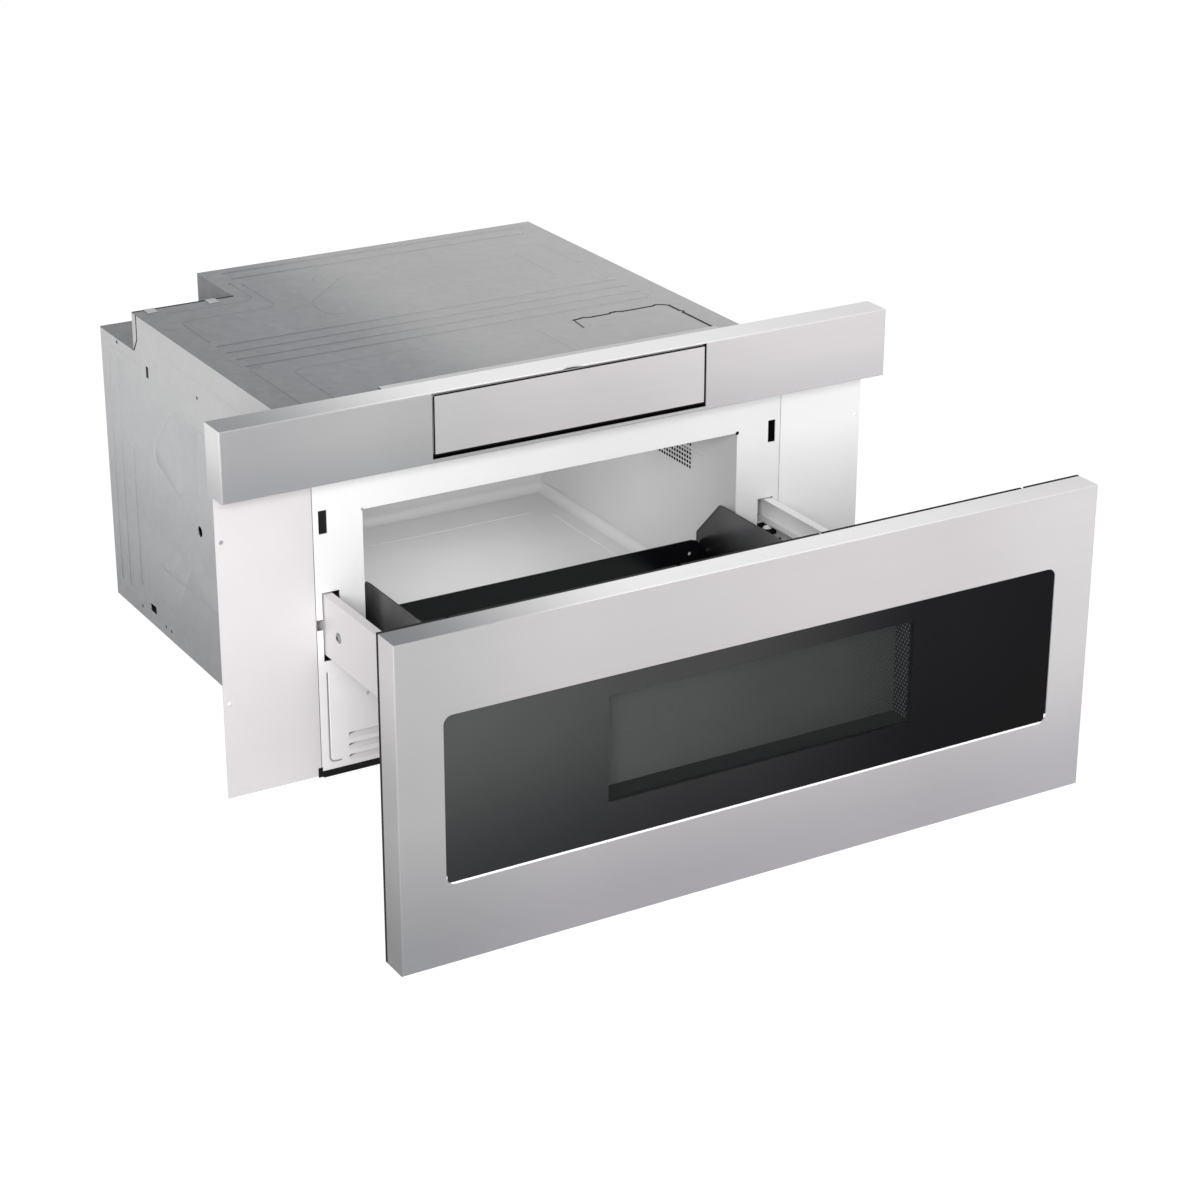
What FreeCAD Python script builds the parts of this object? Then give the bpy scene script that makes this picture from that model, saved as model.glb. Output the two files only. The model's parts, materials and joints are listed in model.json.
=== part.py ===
import FreeCAD, Part
import math
import os
import Sketcher

# Built-in microwave drawer, shown with its drawer fully open.
# X runs to the right seen from the front, Y to the back and Z up, in millimetres.
# The origin is the middle of the front edge of the base, where the front plane of the chassis meets
# its underside.

doc = FreeCAD.newDocument("microwave_drawer")
sheet = doc.addObject("Spreadsheet::Sheet", "sizes")
nodes = []


# ------------------------------------------------------------------ sizes and the expressions made of them

class Length:
    """A size that follows the sheet: the expression for it, and what it comes to now."""

    def __init__(self, text, number):
        self.text = text
        self.number = number

    def __add__(self, other):
        other = as_length(other)
        return Length(f"({self.text} + {other.text})", self.number + other.number)

    def __radd__(self, other):
        return as_length(other) + self

    def __sub__(self, other):
        other = as_length(other)
        return Length(f"({self.text} - {other.text})", self.number - other.number)

    def __rsub__(self, other):
        return as_length(other) - self

    def __mul__(self, other):
        other = as_length(other)
        return Length(f"({self.text} * {other.text})", self.number * other.number)

    def __rmul__(self, other):
        return as_length(other) * self

    def __truediv__(self, other):
        other = as_length(other)
        return Length(f"({self.text} / {other.text})", self.number / other.number)

    def __neg__(self):
        return Length(f"(0 - {self.text})", -self.number)


def as_length(value):
    """Let plain numbers take part in the sums."""
    if isinstance(value, Length):
        return value
    return Length(repr(float(value)), float(value))


def size(name, number):
    """Write one driving size into the sheet under its own name."""
    size.row += 1
    sheet.set(f"A{size.row}", name)
    sheet.set(f"B{size.row}", str(number))
    sheet.setAlias(f"B{size.row}", name)
    return Length(f"sizes.{name}", float(number))


size.row = 0

# Chassis
chassis_width = size("chassis_width", 546.4)
chassis_height = size("chassis_height", 365.6)
chassis_depth = size("chassis_depth", 547.3)
panel_sheet = size("panel_sheet", 1.0)
face_sheet = size("face_sheet", 1.2)
seam_gap = size("seam_gap", 0.8)
seat_gap = size("seat_gap", 0.3)
rib_rise = size("rib_rise", 0.8)
rib_width = size("rib_width", 6.0)
rib_pitch = size("rib_pitch", 25.0)
cover_rib_place = size("cover_rib_place", 212.0)
cover_rib_reach = size("cover_rib_reach", 242.0)
rear_rib_place = size("rear_rib_place", 502.0)
rear_rib_start = size("rear_rib_start", -131.0)
side_rib_low = size("side_rib_low", 26.0)
side_rib_high = size("side_rib_high", 300.0)
short_rib_low = size("short_rib_low", 40.0)
short_rib_high = size("short_rib_high", 233.0)
short_rib_place = size("short_rib_place", 60.0)
side_rib_inset = size("side_rib_inset", 18.0)
bead_depth = size("bead_depth", 0.6)
side_window_place = size("side_window_place", 138.0)
side_window_length = size("side_window_length", 7.0)
side_window_drop = size("side_window_drop", 65.0)
side_window_height = size("side_window_height", 13.0)
side_slot_place = size("side_slot_place", 119.0)
side_slot_length = size("side_slot_length", 17.0)
side_slot_low = size("side_slot_low", 16.0)
side_slot_height = size("side_slot_height", 9.0)
side_hole_place = size("side_hole_place", 260.0)
side_hole_rise = size("side_hole_rise", 165.5)
side_hole_radius = size("side_hole_radius", 6.0)
ledge_pip_place = size("ledge_pip_place", 49.0)
ledge_pip_drop = size("ledge_pip_drop", 4.5)
cover_pip_place = size("cover_pip_place", 271.5)
cover_pip_drop = size("cover_pip_drop", 46.5)
floor_pip_first = size("floor_pip_first", 77.0)
floor_pip_second = size("floor_pip_second", 145.0)
floor_pip_third = size("floor_pip_third", 161.0)
floor_pip_rise = size("floor_pip_rise", 11.5)
notch_width = size("notch_width", 118.9)
notch_depth = size("notch_depth", 98.7)
notch_drop = size("notch_drop", 43.2)
guide_height = size("guide_height", 3.0)
guide_depth = size("guide_depth", 12.0)
guide_lip = size("guide_lip", 0.9)
guide_lip_drop = size("guide_lip_drop", 2.5)
guide_lip_rise = size("guide_lip_rise", 4.5)
guide_hook_width = size("guide_hook_width", 4.5)
guide_hook_rise = size("guide_hook_rise", 9.0)

# Cabinet flanges
flange_span = size("flange_span", 750.0)
flange_lip = size("flange_lip", 18.0)
cabinet_screw_inset = size("cabinet_screw_inset", 6.1)
cabinet_screw_low = size("cabinet_screw_low", 102.4)
cabinet_screw_high = size("cabinet_screw_high", 272.6)
cabinet_hole_radius = size("cabinet_hole_radius", 2.4)

# Trim and the hidden control panel
trim_width = size("trim_width", 760.0)
trim_height = size("trim_height", 73.0)
trim_drop = size("trim_drop", 41.3)
trim_depth = size("trim_depth", 33.8)
trim_sheet = size("trim_sheet", 1.2)
trim_round = size("trim_round", 1.5)
flap_width = size("flap_width", 311.5)
flap_gap = size("flap_gap", 1.5)
scoop_radius = size("scoop_radius", 23.5)
scoop_depth = size("scoop_depth", 3.0)
flap_bottom_gap = size("flap_bottom_gap", 4.0)
flap_bottom_rail = size("flap_bottom_rail", 4.1)
flap_sheet = size("flap_sheet", 1.0)
flap_return = size("flap_return", 4.0)
pod_glass = size("pod_glass", 3.0)
pod_pin_radius = size("pod_pin_radius", 2.5)
pod_pin_inset = size("pod_pin_inset", 7.0)
pod_pin_rise = size("pod_pin_rise", 4.1)
pod_depth = size("pod_depth", 33.3)
pod_back_rise = size("pod_back_rise", 29.5)
running_gap = size("running_gap", 0.06)
housing_wall = size("housing_wall", 1.0)
housing_side_gap = size("housing_side_gap", 2.0)
housing_depth = size("housing_depth", 8.6)
housing_strip_width = size("housing_strip_width", 388.0)

# Drawer travel and door
drawer_travel = size("drawer_travel", 355.5)
door_overhang = size("door_overhang", 4.3)
door_height = size("door_height", 321.6)
door_depth = size("door_depth", 28.6)
door_sheet = size("door_sheet", 1.2)
door_round = size("door_round", 1.5)
door_back_thickness = size("door_back_thickness", 4.0)
cover_notch_inner = size("cover_notch_inner", 77.0)
cover_notch_outer = size("cover_notch_outer", 312.0)
cover_notch_width = size("cover_notch_width", 4.0)
cover_notch_depth = size("cover_notch_depth", 3.0)
door_panel_sheet = size("door_panel_sheet", 1.0)
window_width = size("window_width", 668.0)
window_height = size("window_height", 165.3)
window_rise = size("window_rise", 79.3)
window_round = size("window_round", 9.0)
glass_thickness = size("glass_thickness", 4.0)
glass_lap = size("glass_lap", 8.0)
screen_width = size("screen_width", 334.0)
screen_height = size("screen_height", 104.1)
screen_rise = size("screen_rise", 120.4)
screen_sheet = size("screen_sheet", 0.6)

# Oven opening and cavity
opening_width = size("opening_width", 437.8)
opening_low = size("opening_low", 79.5)
opening_high = size("opening_high", 277.7)
relief_radius = size("relief_radius", 1.8)
cavity_depth = size("cavity_depth", 421.0)
cavity_sheet = size("cavity_sheet", 0.8)
cavity_floor = size("cavity_floor", 75.7)
cavity_headroom = size("cavity_headroom", 2.3)
floor_plate = size("floor_plate", 4.0)
well_radius = size("well_radius", 105.0)
well_drop = size("well_drop", 15.4)
vent_front = size("vent_front", 92.0)
vent_low = size("vent_low", 210.0)
vent_pitch = size("vent_pitch", 5.2)
vent_hole_radius = size("vent_hole_radius", 1.4)

# Openings in the front frame
latch_hole_near = size("latch_hole_near", 257.4)
latch_hole_far = size("latch_hole_far", 266.6)
latch_hole_low = size("latch_hole_low", 260.1)
latch_hole_high = size("latch_hole_high", 284.7)
slot_near = size("slot_near", 246.4)
slot_far = size("slot_far", 265.6)
slot_low = size("slot_low", 124.2)
slot_high = size("slot_high", 198.0)
slot_notch_width = size("slot_notch_width", 6.6)
slot_notch_low = size("slot_notch_low", 158.5)
slot_notch_high = size("slot_notch_high", 170.0)
louvre_start = size("louvre_start", 242.0)
louvre_length = size("louvre_length", 150.0)
louvre_first = size("louvre_first", 12.4)
louvre_pitch = size("louvre_pitch", 12.3)
louvre_slot = size("louvre_slot", 7.0)

# Rails and slides
rail_clearance = size("rail_clearance", 1.6)
rail_sheet = size("rail_sheet", 1.2)
rail_flange = size("rail_flange", 9.5)
rail_low = size("rail_low", 131.3)
rail_high = size("rail_high", 196.5)
rail_tail = size("rail_tail", 150.0)
slide_centre = size("slide_centre", 164.0)
slide_sheet = size("slide_sheet", 1.5)
slide_tip_gap = size("slide_tip_gap", 1.0)
slide_reach = size("slide_reach", 520.0)
slide_head = size("slide_head", 16.0)
ball_radius = size("ball_radius", 5.5)
ball_pitch = size("ball_pitch", 45.0)
cage_height = size("cage_height", 6.0)
cage_end = size("cage_end", 7.5)
cage_lead = size("cage_lead", 15.5)
cage_side_gap = size("cage_side_gap", 0.4)

# Drawer drive
tooth_module = size("tooth_module", 1.5)
rack_tooth_count = size("rack_tooth_count", 82)
rack_low = size("rack_low", 137.0)
rack_height = size("rack_height", 12.0)
rack_tip_inset = size("rack_tip_inset", 8.8)
backlash = size("backlash", 0.3)
pinion_place = size("pinion_place", 50.0)
motor_width = size("motor_width", 38.0)
motor_depth = size("motor_depth", 50.0)
motor_top = size("motor_top", 125.0)
motor_can_radius = size("motor_can_radius", 17.0)
gearbox_low = size("gearbox_low", 62.0)
drive_shaft_radius = size("drive_shaft_radius", 4.0)

# Tray
tray_half = size("tray_half", 209.7)
tray_sheet = size("tray_sheet", 1.2)
tray_low = size("tray_low", 81.5)
tray_high = size("tray_high", 193.5)
tray_flange = size("tray_flange", 18.0)
ear_back = size("ear_back", 61.0)
ear_low = size("ear_low", 148.0)
ear_run = size("ear_run", 45.0)
ear_round = size("ear_round", 6.0)
strip_inset = size("strip_inset", 6.0)
strip_high = size("strip_high", 141.0)
strip_round = size("strip_round", 8.0)
tray_glass = size("tray_glass", 5.0)
tray_glass_gap = size("tray_glass_gap", 1.5)

# Latches and interlocks
latch_thickness = size("latch_thickness", 5.0)
latch_height = size("latch_height", 11.0)
latch_reach = size("latch_reach", 26.0)
latch_pivot_depth = size("latch_pivot_depth", 8.0)
latch_pivot_rise = size("latch_pivot_rise", 9.4)
latch_pin_radius = size("latch_pin_radius", 2.0)
latch_slot_gap = size("latch_slot_gap", 1.5)
switch_width = size("switch_width", 16.0)
switch_height = size("switch_height", 20.0)
switch_depth = size("switch_depth", 28.0)
plunger_radius = size("plunger_radius", 1.5)
plunger_stroke = size("plunger_stroke", 1.5)
plunger_gap = size("plunger_gap", 0.8)

# Power and air
guide_width = size("guide_width", 90.0)
guide_start = size("guide_start", 160.0)
guide_end = size("guide_end", 515.0)
guide_rise = size("guide_rise", 34.0)
guide_sheet = size("guide_sheet", 1.0)
antenna_place = size("antenna_place", 211.0)
antenna_radius = size("antenna_radius", 62.0)
antenna_sheet = size("antenna_sheet", 1.0)
antenna_shaft_radius = size("antenna_shaft_radius", 3.0)
antenna_motor_radius = size("antenna_motor_radius", 25.0)
antenna_motor_height = size("antenna_motor_height", 15.0)
magnetron_place = size("magnetron_place", 470.0)
magnetron_width = size("magnetron_width", 94.0)
magnetron_depth = size("magnetron_depth", 78.0)
magnetron_height = size("magnetron_height", 104.0)
fin_count = size("fin_count", 7)
fin_pitch = size("fin_pitch", 9.0)
fin_sheet = size("fin_sheet", 1.0)
fan_place = size("fan_place", -105.0)
fan_rise = size("fan_rise", 118.0)
fan_radius = size("fan_radius", 45.0)
fan_tip_gap = size("fan_tip_gap", 5.0)
fan_wall = size("fan_wall", 2.0)
fan_depth = size("fan_depth", 46.0)
fan_blade_count = size("fan_blade_count", 14)
fan_shaft_radius = size("fan_shaft_radius", 3.0)
fan_motor_radius = size("fan_motor_radius", 28.0)
fan_motor_depth = size("fan_motor_depth", 40.0)
supply_left = size("supply_left", 105.0)
supply_width = size("supply_width", 115.0)
supply_front = size("supply_front", 440.0)
supply_depth = size("supply_depth", 95.0)
supply_height = size("supply_height", 72.0)
lamp_front = size("lamp_front", 150.0)
lamp_low = size("lamp_low", 222.0)
lamp_size = size("lamp_size", 40.0)
lamp_depth = size("lamp_depth", 24.0)

# Control bay on top of the chassis
bay_left = size("bay_left", 123.0)
bay_right = size("bay_right", 243.5)
bay_front = size("bay_front", 30.0)
bay_back = size("bay_back", 185.5)
bay_step = size("bay_step", 12.0)
bay_gap = size("bay_gap", 1.2)
bay_lap = size("bay_lap", 8.0)
board_drop = size("board_drop", 30.0)
board_sheet = size("board_sheet", 1.6)
board_post = size("board_post", 3.0)

# Fasteners and cord gland
screw_radius = size("screw_radius", 1.9)
screw_hole_gap = size("screw_hole_gap", 0.2)
screw_head_radius = size("screw_head_radius", 4.0)
screw_head_height = size("screw_head_height", 2.2)
washer_radius = size("washer_radius", 5.6)
washer_sheet = size("washer_sheet", 0.8)
rail_screw_place = size("rail_screw_place", -32.0)
rail_screw_pitch = size("rail_screw_pitch", 140.0)
gland_radius = size("gland_radius", 11.0)
gland_bore = size("gland_bore", 4.6)
gland_neck = size("gland_neck", 8.0)
gland_length = size("gland_length", 16.0)

doc.recompute()


# ------------------------------------------------------------------ places that several pieces share

chassis_half = chassis_width / 2
inner_half = chassis_half - panel_sheet
frame_half = chassis_half - seam_gap
cover_under = chassis_height - panel_sheet
back_inner = chassis_depth - panel_sheet
notch_side = notch_width - chassis_half
notch_front = chassis_depth - notch_depth
notch_ledge = chassis_height - notch_drop
trim_bottom = chassis_height - trim_drop
trim_top = trim_bottom + trim_height
trim_half = trim_width / 2
trim_inner_top = trim_top - trim_sheet
flap_half = flap_width / 2
flap_opening_half = flap_half + flap_gap
flap_low = trim_bottom + flap_bottom_rail + flap_bottom_gap
flap_high = trim_inner_top - flap_gap
housing_half = flap_half + housing_side_gap + housing_wall
housing_low = trim_bottom + trim_sheet
pod_pin_y = pod_pin_inset - trim_depth
pod_pin_z = flap_low + pod_pin_rise
door_front = -(drawer_travel + trim_depth)
door_rear = door_front + door_depth
door_cover_rear = door_rear + door_back_thickness
door_low = -door_overhang
door_high = door_low + door_height
door_half = trim_half
glass_rear = door_front + door_sheet + glass_thickness
window_low = door_low + window_rise
window_high = window_low + window_height
screen_low = door_low + screen_rise
screen_high = screen_low + screen_height
opening_half = opening_width / 2
cavity_half = opening_half
cavity_outer = cavity_half + cavity_sheet
cavity_top = opening_high + cavity_headroom
floor_sheet_top = cavity_floor - floor_plate
floor_sheet_under = floor_sheet_top - cavity_sheet
well_under = floor_sheet_under - well_drop
guide_top = well_under
guide_low = guide_top - guide_rise
rail_outer = slot_far - rail_clearance
rail_inner = rail_outer - rail_sheet
rail_tip = rail_outer - rail_flange
slide_half = ball_radius + seat_gap + slide_sheet
slide_low = slide_centre - slide_half
slide_high = slide_centre + slide_half
fixed_web = slot_near - slide_sheet + cage_side_gap
cage_near = fixed_web + slide_sheet + cage_side_gap
cage_far = rail_inner - slide_sheet - cage_side_gap
ball_x = (cage_near + cage_far) / 2
latch_x = (latch_hole_near + latch_hole_far) / 2
latch_z = latch_hole_low + latch_pivot_rise
latch_y = door_rear - latch_pivot_depth
latch_tip = door_cover_rear + latch_reach
switch_face = latch_tip + drawer_travel + plunger_gap + plunger_stroke + seat_gap
flange_half = flange_span / 2
cabinet_screw_x = flange_half - cabinet_screw_inset
fan_front = back_inner - fan_depth


# ------------------------------------------------------------------ ways of making a piece

def bind(item, name, value):
    """Tie one property of an object to the sheet."""
    item.setExpression(name, as_length(value).text)


def in_order(low, high):
    """Two places on an axis, the lower one first."""
    low = as_length(low)
    high = as_length(high)
    return (low, high) if low.number <= high.number else (high, low)


def block(name, x, y, z):
    """A rectangular block between two places on each axis."""
    item = doc.addObject("Part::Box", name)
    for side, axis, span in zip(("Length", "Width", "Height"), "xyz", (x, y, z)):
        low, high = in_order(*span)
        bind(item, side, high - low)
        bind(item, f"Placement.Base.{axis}", low)
    return item


TURN_TO = {
    "x": FreeCAD.Rotation(FreeCAD.Vector(0, 1, 0), 90),
    "y": FreeCAD.Rotation(FreeCAD.Vector(1, 0, 0), -90),
    "z": FreeCAD.Rotation(),
}


def rod(name, axis, centre, span, radius):
    """A round bar along an axis, through a centre given on the two other axes."""
    item = doc.addObject("Part::Cylinder", name)
    item.Placement = FreeCAD.Placement(FreeCAD.Vector(), TURN_TO[axis])
    low, high = in_order(*span)
    bind(item, "Radius", radius)
    bind(item, "Height", high - low)
    bind(item, f"Placement.Base.{axis}", low)
    for other, place in zip([letter for letter in "xyz" if letter != axis], centre):
        bind(item, f"Placement.Base.{other}", place)
    return item


def joined(name, pieces):
    """Several solids made one."""
    item = doc.addObject("Part::MultiFuse", name)
    item.Shapes = pieces
    item.Refine = True
    return item


def less(name, base, cutters):
    """A solid less one or more others."""
    item = doc.addObject("Part::Cut", name)
    item.Base = base
    item.Tool = cutters[0] if len(cutters) == 1 else joined(f"{name}_cutters", cutters)
    item.Refine = True
    return item


def group(name, pieces):
    """Separate solids that share one node."""
    item = doc.addObject("Part::Compound", name)
    item.Links = pieces
    return item


def node(label, item):
    """Give a finished sub-part the label that names its file."""
    item.Label = label
    nodes.append(item)
    return item


# Outlines are small records that a sketch then draws: a frame, a circle or a chain of corners.

def frame(left, right, low, high, radius=None):
    """A rectangle, with rounded corners if a radius is given."""
    return {"kind": "frame", "x": in_order(left, right), "y": in_order(low, high), "radius": radius}


def circle(x, y, radius):
    """A circle."""
    return {"kind": "circle", "centre": (as_length(x), as_length(y)), "radius": as_length(radius)}


def chain(corners):
    """A closed chain of straight edges."""
    return {"kind": "chain", "corners": [(as_length(x), as_length(y)) for x, y in corners]}


def hold(sketch, kind, first, first_point, second, second_point, value):
    """Fix a distance between two sketch points and tie it to the sheet."""
    value = as_length(value)
    row = sketch.addConstraint(
        Sketcher.Constraint(kind, first, first_point, second, second_point, value.number))
    sketch.setExpression(f"Constraints[{row}]", value.text)


def draw_chain(sketch, corners):
    """Draw straight edges between corners that are each held to the sketch's origin."""
    points = [FreeCAD.Vector(x.number, y.number, 0) for x, y in corners]
    first = sketch.GeometryCount
    count = len(points)
    for index in range(count):
        sketch.addGeometry(Part.LineSegment(points[index], points[(index + 1) % count]), False)
    for index in range(count):
        following = first + (index + 1) % count
        sketch.addConstraint(Sketcher.Constraint("Coincident", first + index, 2, following, 1))
    for index, (x, y) in enumerate(corners):
        hold(sketch, "DistanceX", -1, 1, first + index, 1, x)
        hold(sketch, "DistanceY", -1, 1, first + index, 1, y)


def draw_rounded(sketch, left, right, low, high, radius):
    """Draw a rectangle with four equal rounded corners."""
    first = sketch.GeometryCount
    x0, x1, y0, y1, r = left.number, right.number, low.number, high.number, radius.number
    corners = [(x1 - r, y0 + r, 270), (x1 - r, y1 - r, 0), (x0 + r, y1 - r, 90), (x0 + r, y0 + r, 180)]
    edges = [((x0 + r, y0), (x1 - r, y0)), ((x1, y0 + r), (x1, y1 - r)),
             ((x1 - r, y1), (x0 + r, y1)), ((x0, y1 - r), (x0, y0 + r))]
    for (start, end), (cx, cy, angle) in zip(edges, corners):
        sketch.addGeometry(Part.LineSegment(FreeCAD.Vector(*start, 0), FreeCAD.Vector(*end, 0)), False)
        ring = Part.Circle(FreeCAD.Vector(cx, cy, 0), FreeCAD.Vector(0, 0, 1), r)
        arc = Part.ArcOfCircle(ring, math.radians(angle), math.radians(angle + 90))
        sketch.addGeometry(arc, False)
    for index in range(4):
        line, arc = first + 2 * index, first + 2 * index + 1
        following = first + (2 * index + 2) % 8
        sketch.addConstraint(Sketcher.Constraint("Tangent", line, 2, arc, 1))
        sketch.addConstraint(Sketcher.Constraint("Tangent", arc, 2, following, 1))
        sketch.addConstraint(Sketcher.Constraint("Horizontal" if index % 2 == 0 else "Vertical", line))
    for index in range(1, 4):
        sketch.addConstraint(Sketcher.Constraint("Equal", first + 1, first + 2 * index + 1))
    row = sketch.addConstraint(Sketcher.Constraint("Radius", first + 1, r))
    sketch.setExpression(f"Constraints[{row}]", radius.text)
    hold(sketch, "DistanceY", -1, 1, first, 1, low)
    hold(sketch, "DistanceX", -1, 1, first + 2, 1, right)
    hold(sketch, "DistanceY", -1, 1, first + 4, 1, high)
    hold(sketch, "DistanceX", -1, 1, first + 6, 1, left)


def draw(sketch, outline):
    """Draw one outline record."""
    if outline["kind"] == "chain":
        draw_chain(sketch, outline["corners"])
    elif outline["kind"] == "circle":
        (x, y), radius = outline["centre"], outline["radius"]
        ring = Part.Circle(FreeCAD.Vector(x.number, y.number, 0), FreeCAD.Vector(0, 0, 1), radius.number)
        index = sketch.addGeometry(ring, False)
        row = sketch.addConstraint(Sketcher.Constraint("Radius", index, radius.number))
        sketch.setExpression(f"Constraints[{row}]", radius.text)
        hold(sketch, "DistanceX", -1, 1, index, 3, x)
        hold(sketch, "DistanceY", -1, 1, index, 3, y)
    elif outline["radius"] is None:
        (left, right), (low, high) = outline["x"], outline["y"]
        draw_chain(sketch, [(left, low), (right, low), (right, high), (left, high)])
    else:
        draw_rounded(sketch, *outline["x"], *outline["y"], as_length(outline["radius"]))


NORMAL = {"XY_Plane": 1, "XZ_Plane": -1, "YZ_Plane": 1}


def origin_part(body, role):
    """One of the body's own origin planes or axes."""
    return next(part for part in body.Origin.OriginFeatures if part.Role == role)


def sketch_on(body, name, plane, low, high, outlines):
    """A sketch on an origin plane of its body, set off so that growing fills low to high."""
    sketch = body.newObject("Sketcher::SketchObject", name)
    sketch.AttachmentSupport = [(origin_part(body, plane), "")]
    sketch.MapMode = "FlatFace"
    bind(sketch, "AttachmentOffset.Base.z", low if NORMAL[plane] > 0 else -high)
    for outline in outlines:
        draw(sketch, outline)
    return sketch


def pad(body, name, plane, span, outlines):
    """Pad outlines between two places along the plane's normal axis."""
    low, high = in_order(*span)
    sketch = sketch_on(body, f"{name}_sketch", plane, low, high, outlines)
    feature = body.newObject("PartDesign::Pad", name)
    feature.Profile = sketch
    bind(feature, "Length", high - low)
    body.Tip = feature
    return feature


def pocket(body, name, plane, span, outlines):
    """Cut outlines away between two places along the plane's normal axis."""
    low, high = in_order(*span)
    sketch = sketch_on(body, f"{name}_sketch", plane, low, high, outlines)
    feature = body.newObject("PartDesign::Pocket", name)
    feature.Profile = sketch
    feature.Reversed = True
    bind(feature, "Length", high - low)
    body.Tip = feature
    return feature


def repeat(body, name, feature, role, span, count):
    """Repeat a feature in a row along one of the body's origin axes."""
    row = body.newObject("PartDesign::LinearPattern", name)
    row.Originals = [feature]
    row.Direction = (origin_part(body, role), [""])
    bind(row, "Length", span)
    bind(row, "Occurrences", count)
    body.Tip = row
    return row


def soften(body, name, radius, chosen):
    """Round the edges of the body that the test chooses, read from the built shape."""
    doc.recompute()
    base = body.Tip
    names = [f"Edge{number}" for number, edge in enumerate(base.Shape.Edges, 1) if chosen(edge)]
    feature = body.newObject("PartDesign::Fillet", name)
    feature.Base = (base, names)
    bind(feature, "Radius", radius)
    body.Tip = feature
    return feature


def plate(name, plane, span, outlines):
    """A body that is one padded sketch."""
    body = doc.addObject("PartDesign::Body", name)
    pad(body, f"{name}_pad", plane, span, outlines)
    return body


def runs_along(edge, axis):
    """Whether an edge is straight and parallel to an axis."""
    box = edge.BoundBox
    lengths = {"x": box.XLength, "y": box.YLength, "z": box.ZLength}
    return all(lengths[other] < 1e-3 for other in "xyz" if other != axis) and lengths[axis] > 1e-3


def both_sides(name, make):
    """Make a left and a right copy of a piece: make is given the label and -1 or +1."""
    return [make(f"{name}_{word}", side) for word, side in (("left", -1), ("right", 1))]


def section(name, corners, span):
    """A bent sheet or bar with one cross-section, running along Y."""
    return plate(name, "XZ_Plane", span, [chain(corners)])


def channel(name, web, tips, low, high, thickness, span):
    """A C-shaped channel along Y: its web outside, its two flanges reaching to the tips."""
    inward = 1 if tips.number > web.number else -1
    web_inside = web + inward * thickness
    corners = [(web, low), (tips, low), (tips, low + thickness), (web_inside, low + thickness),
               (web_inside, high - thickness), (tips, high - thickness), (tips, high), (web, high)]
    return section(name, corners, span)


# ------------------------------------------------------------------ chassis shell

def base_plate():
    """The floor of the chassis, with two stiffening ribs pressed up."""
    body = plate("base_plate", "XY_Plane", (0, panel_sheet),
                 [frame(-inner_half, inner_half, guide_depth, back_inner)])
    rib = frame(-inner_half + bay_step, -inner_half + bay_step + rib_width, guide_depth + bay_step,
                back_inner - bay_step, rib_width / 3)
    ribs = pad(body, "base_rib", "XY_Plane", (panel_sheet, panel_sheet + rib_rise), [rib])
    repeat(body, "base_ribs", ribs, "X_Axis", 2 * inner_half - 2 * bay_step - rib_width, 2)
    return node("base_plate", body)


def side_panel(label, side):
    """A side of the chassis; the left one steps down at the back for the recess."""
    outside = side * chassis_half
    inside = side * inner_half
    if side < 0:
        corners = [(face_sheet, 0), (chassis_depth, 0), (chassis_depth, notch_ledge - panel_sheet),
                   (notch_front, notch_ledge - panel_sheet), (notch_front, cover_under),
                   (face_sheet, cover_under)]
    else:
        corners = [(face_sheet, 0), (chassis_depth, 0), (chassis_depth, cover_under),
                   (face_sheet, cover_under)]
    window_low = chassis_height - side_window_drop
    window = frame(chassis_depth - side_window_place, chassis_depth - side_window_place + side_window_length,
                   window_low, window_low + side_window_height, side_window_length / 7)
    low_slot = frame(chassis_depth - side_slot_place, chassis_depth - side_slot_place + side_slot_length,
                     side_slot_low, side_slot_low + side_slot_height, side_slot_height / 5)
    round_hole = circle(chassis_depth - side_hole_place, side_hole_rise, side_hole_radius)
    pips = [circle(chassis_depth - place, rise, screw_radius)
            for place, rise in ((ledge_pip_place, notch_ledge - ledge_pip_drop),
                                (cover_pip_place, chassis_height - cover_pip_drop),
                                (floor_pip_first, floor_pip_rise),
                                (floor_pip_second, floor_pip_rise),
                                (floor_pip_third, floor_pip_rise))]
    body = plate(f"{label}_sheet", "YZ_Plane", (inside, outside),
                 [chain(corners), window, low_slot, round_hole] + pips)
    last = chassis_depth - side_rib_inset
    beads = ((last, side_rib_low, side_rib_high), (last - rib_pitch, side_rib_low, side_rib_high),
             (last - short_rib_place, short_rib_low, short_rib_high))
    for number, (back, low, high) in enumerate(beads):
        outline = frame(back - rib_width, back, low, high, rib_width / 3)
        pocket(body, f"{label}_bead_{number}", "YZ_Plane", (outside - side * bead_depth, outside), [outline])
    seats = [rod(f"{label}_screw_seat", "x", (flange_lip / 2, z), (inside, outside),
                 screw_radius + screw_hole_gap) for z in chassis_screw_heights()]
    return node(label, less(f"{label}_drilled", body, seats))


def chassis_screw_heights():
    """Where the screws that join the flanges to the chassis sides sit."""
    return [chassis_height * share for share in (0.12, 0.5, 0.82)]


def cover_outline():
    """The corners of the top cover, round the recess and round the control housing."""
    step_half = housing_half + seat_gap
    step_back = housing_depth + seat_gap
    return [(-chassis_half, face_sheet), (-step_half, face_sheet), (-step_half, step_back),
            (step_half, step_back), (step_half, face_sheet), (chassis_half, face_sheet),
            (chassis_half, chassis_depth), (notch_side, chassis_depth), (notch_side, notch_front),
            (-chassis_half, notch_front)]


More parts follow.
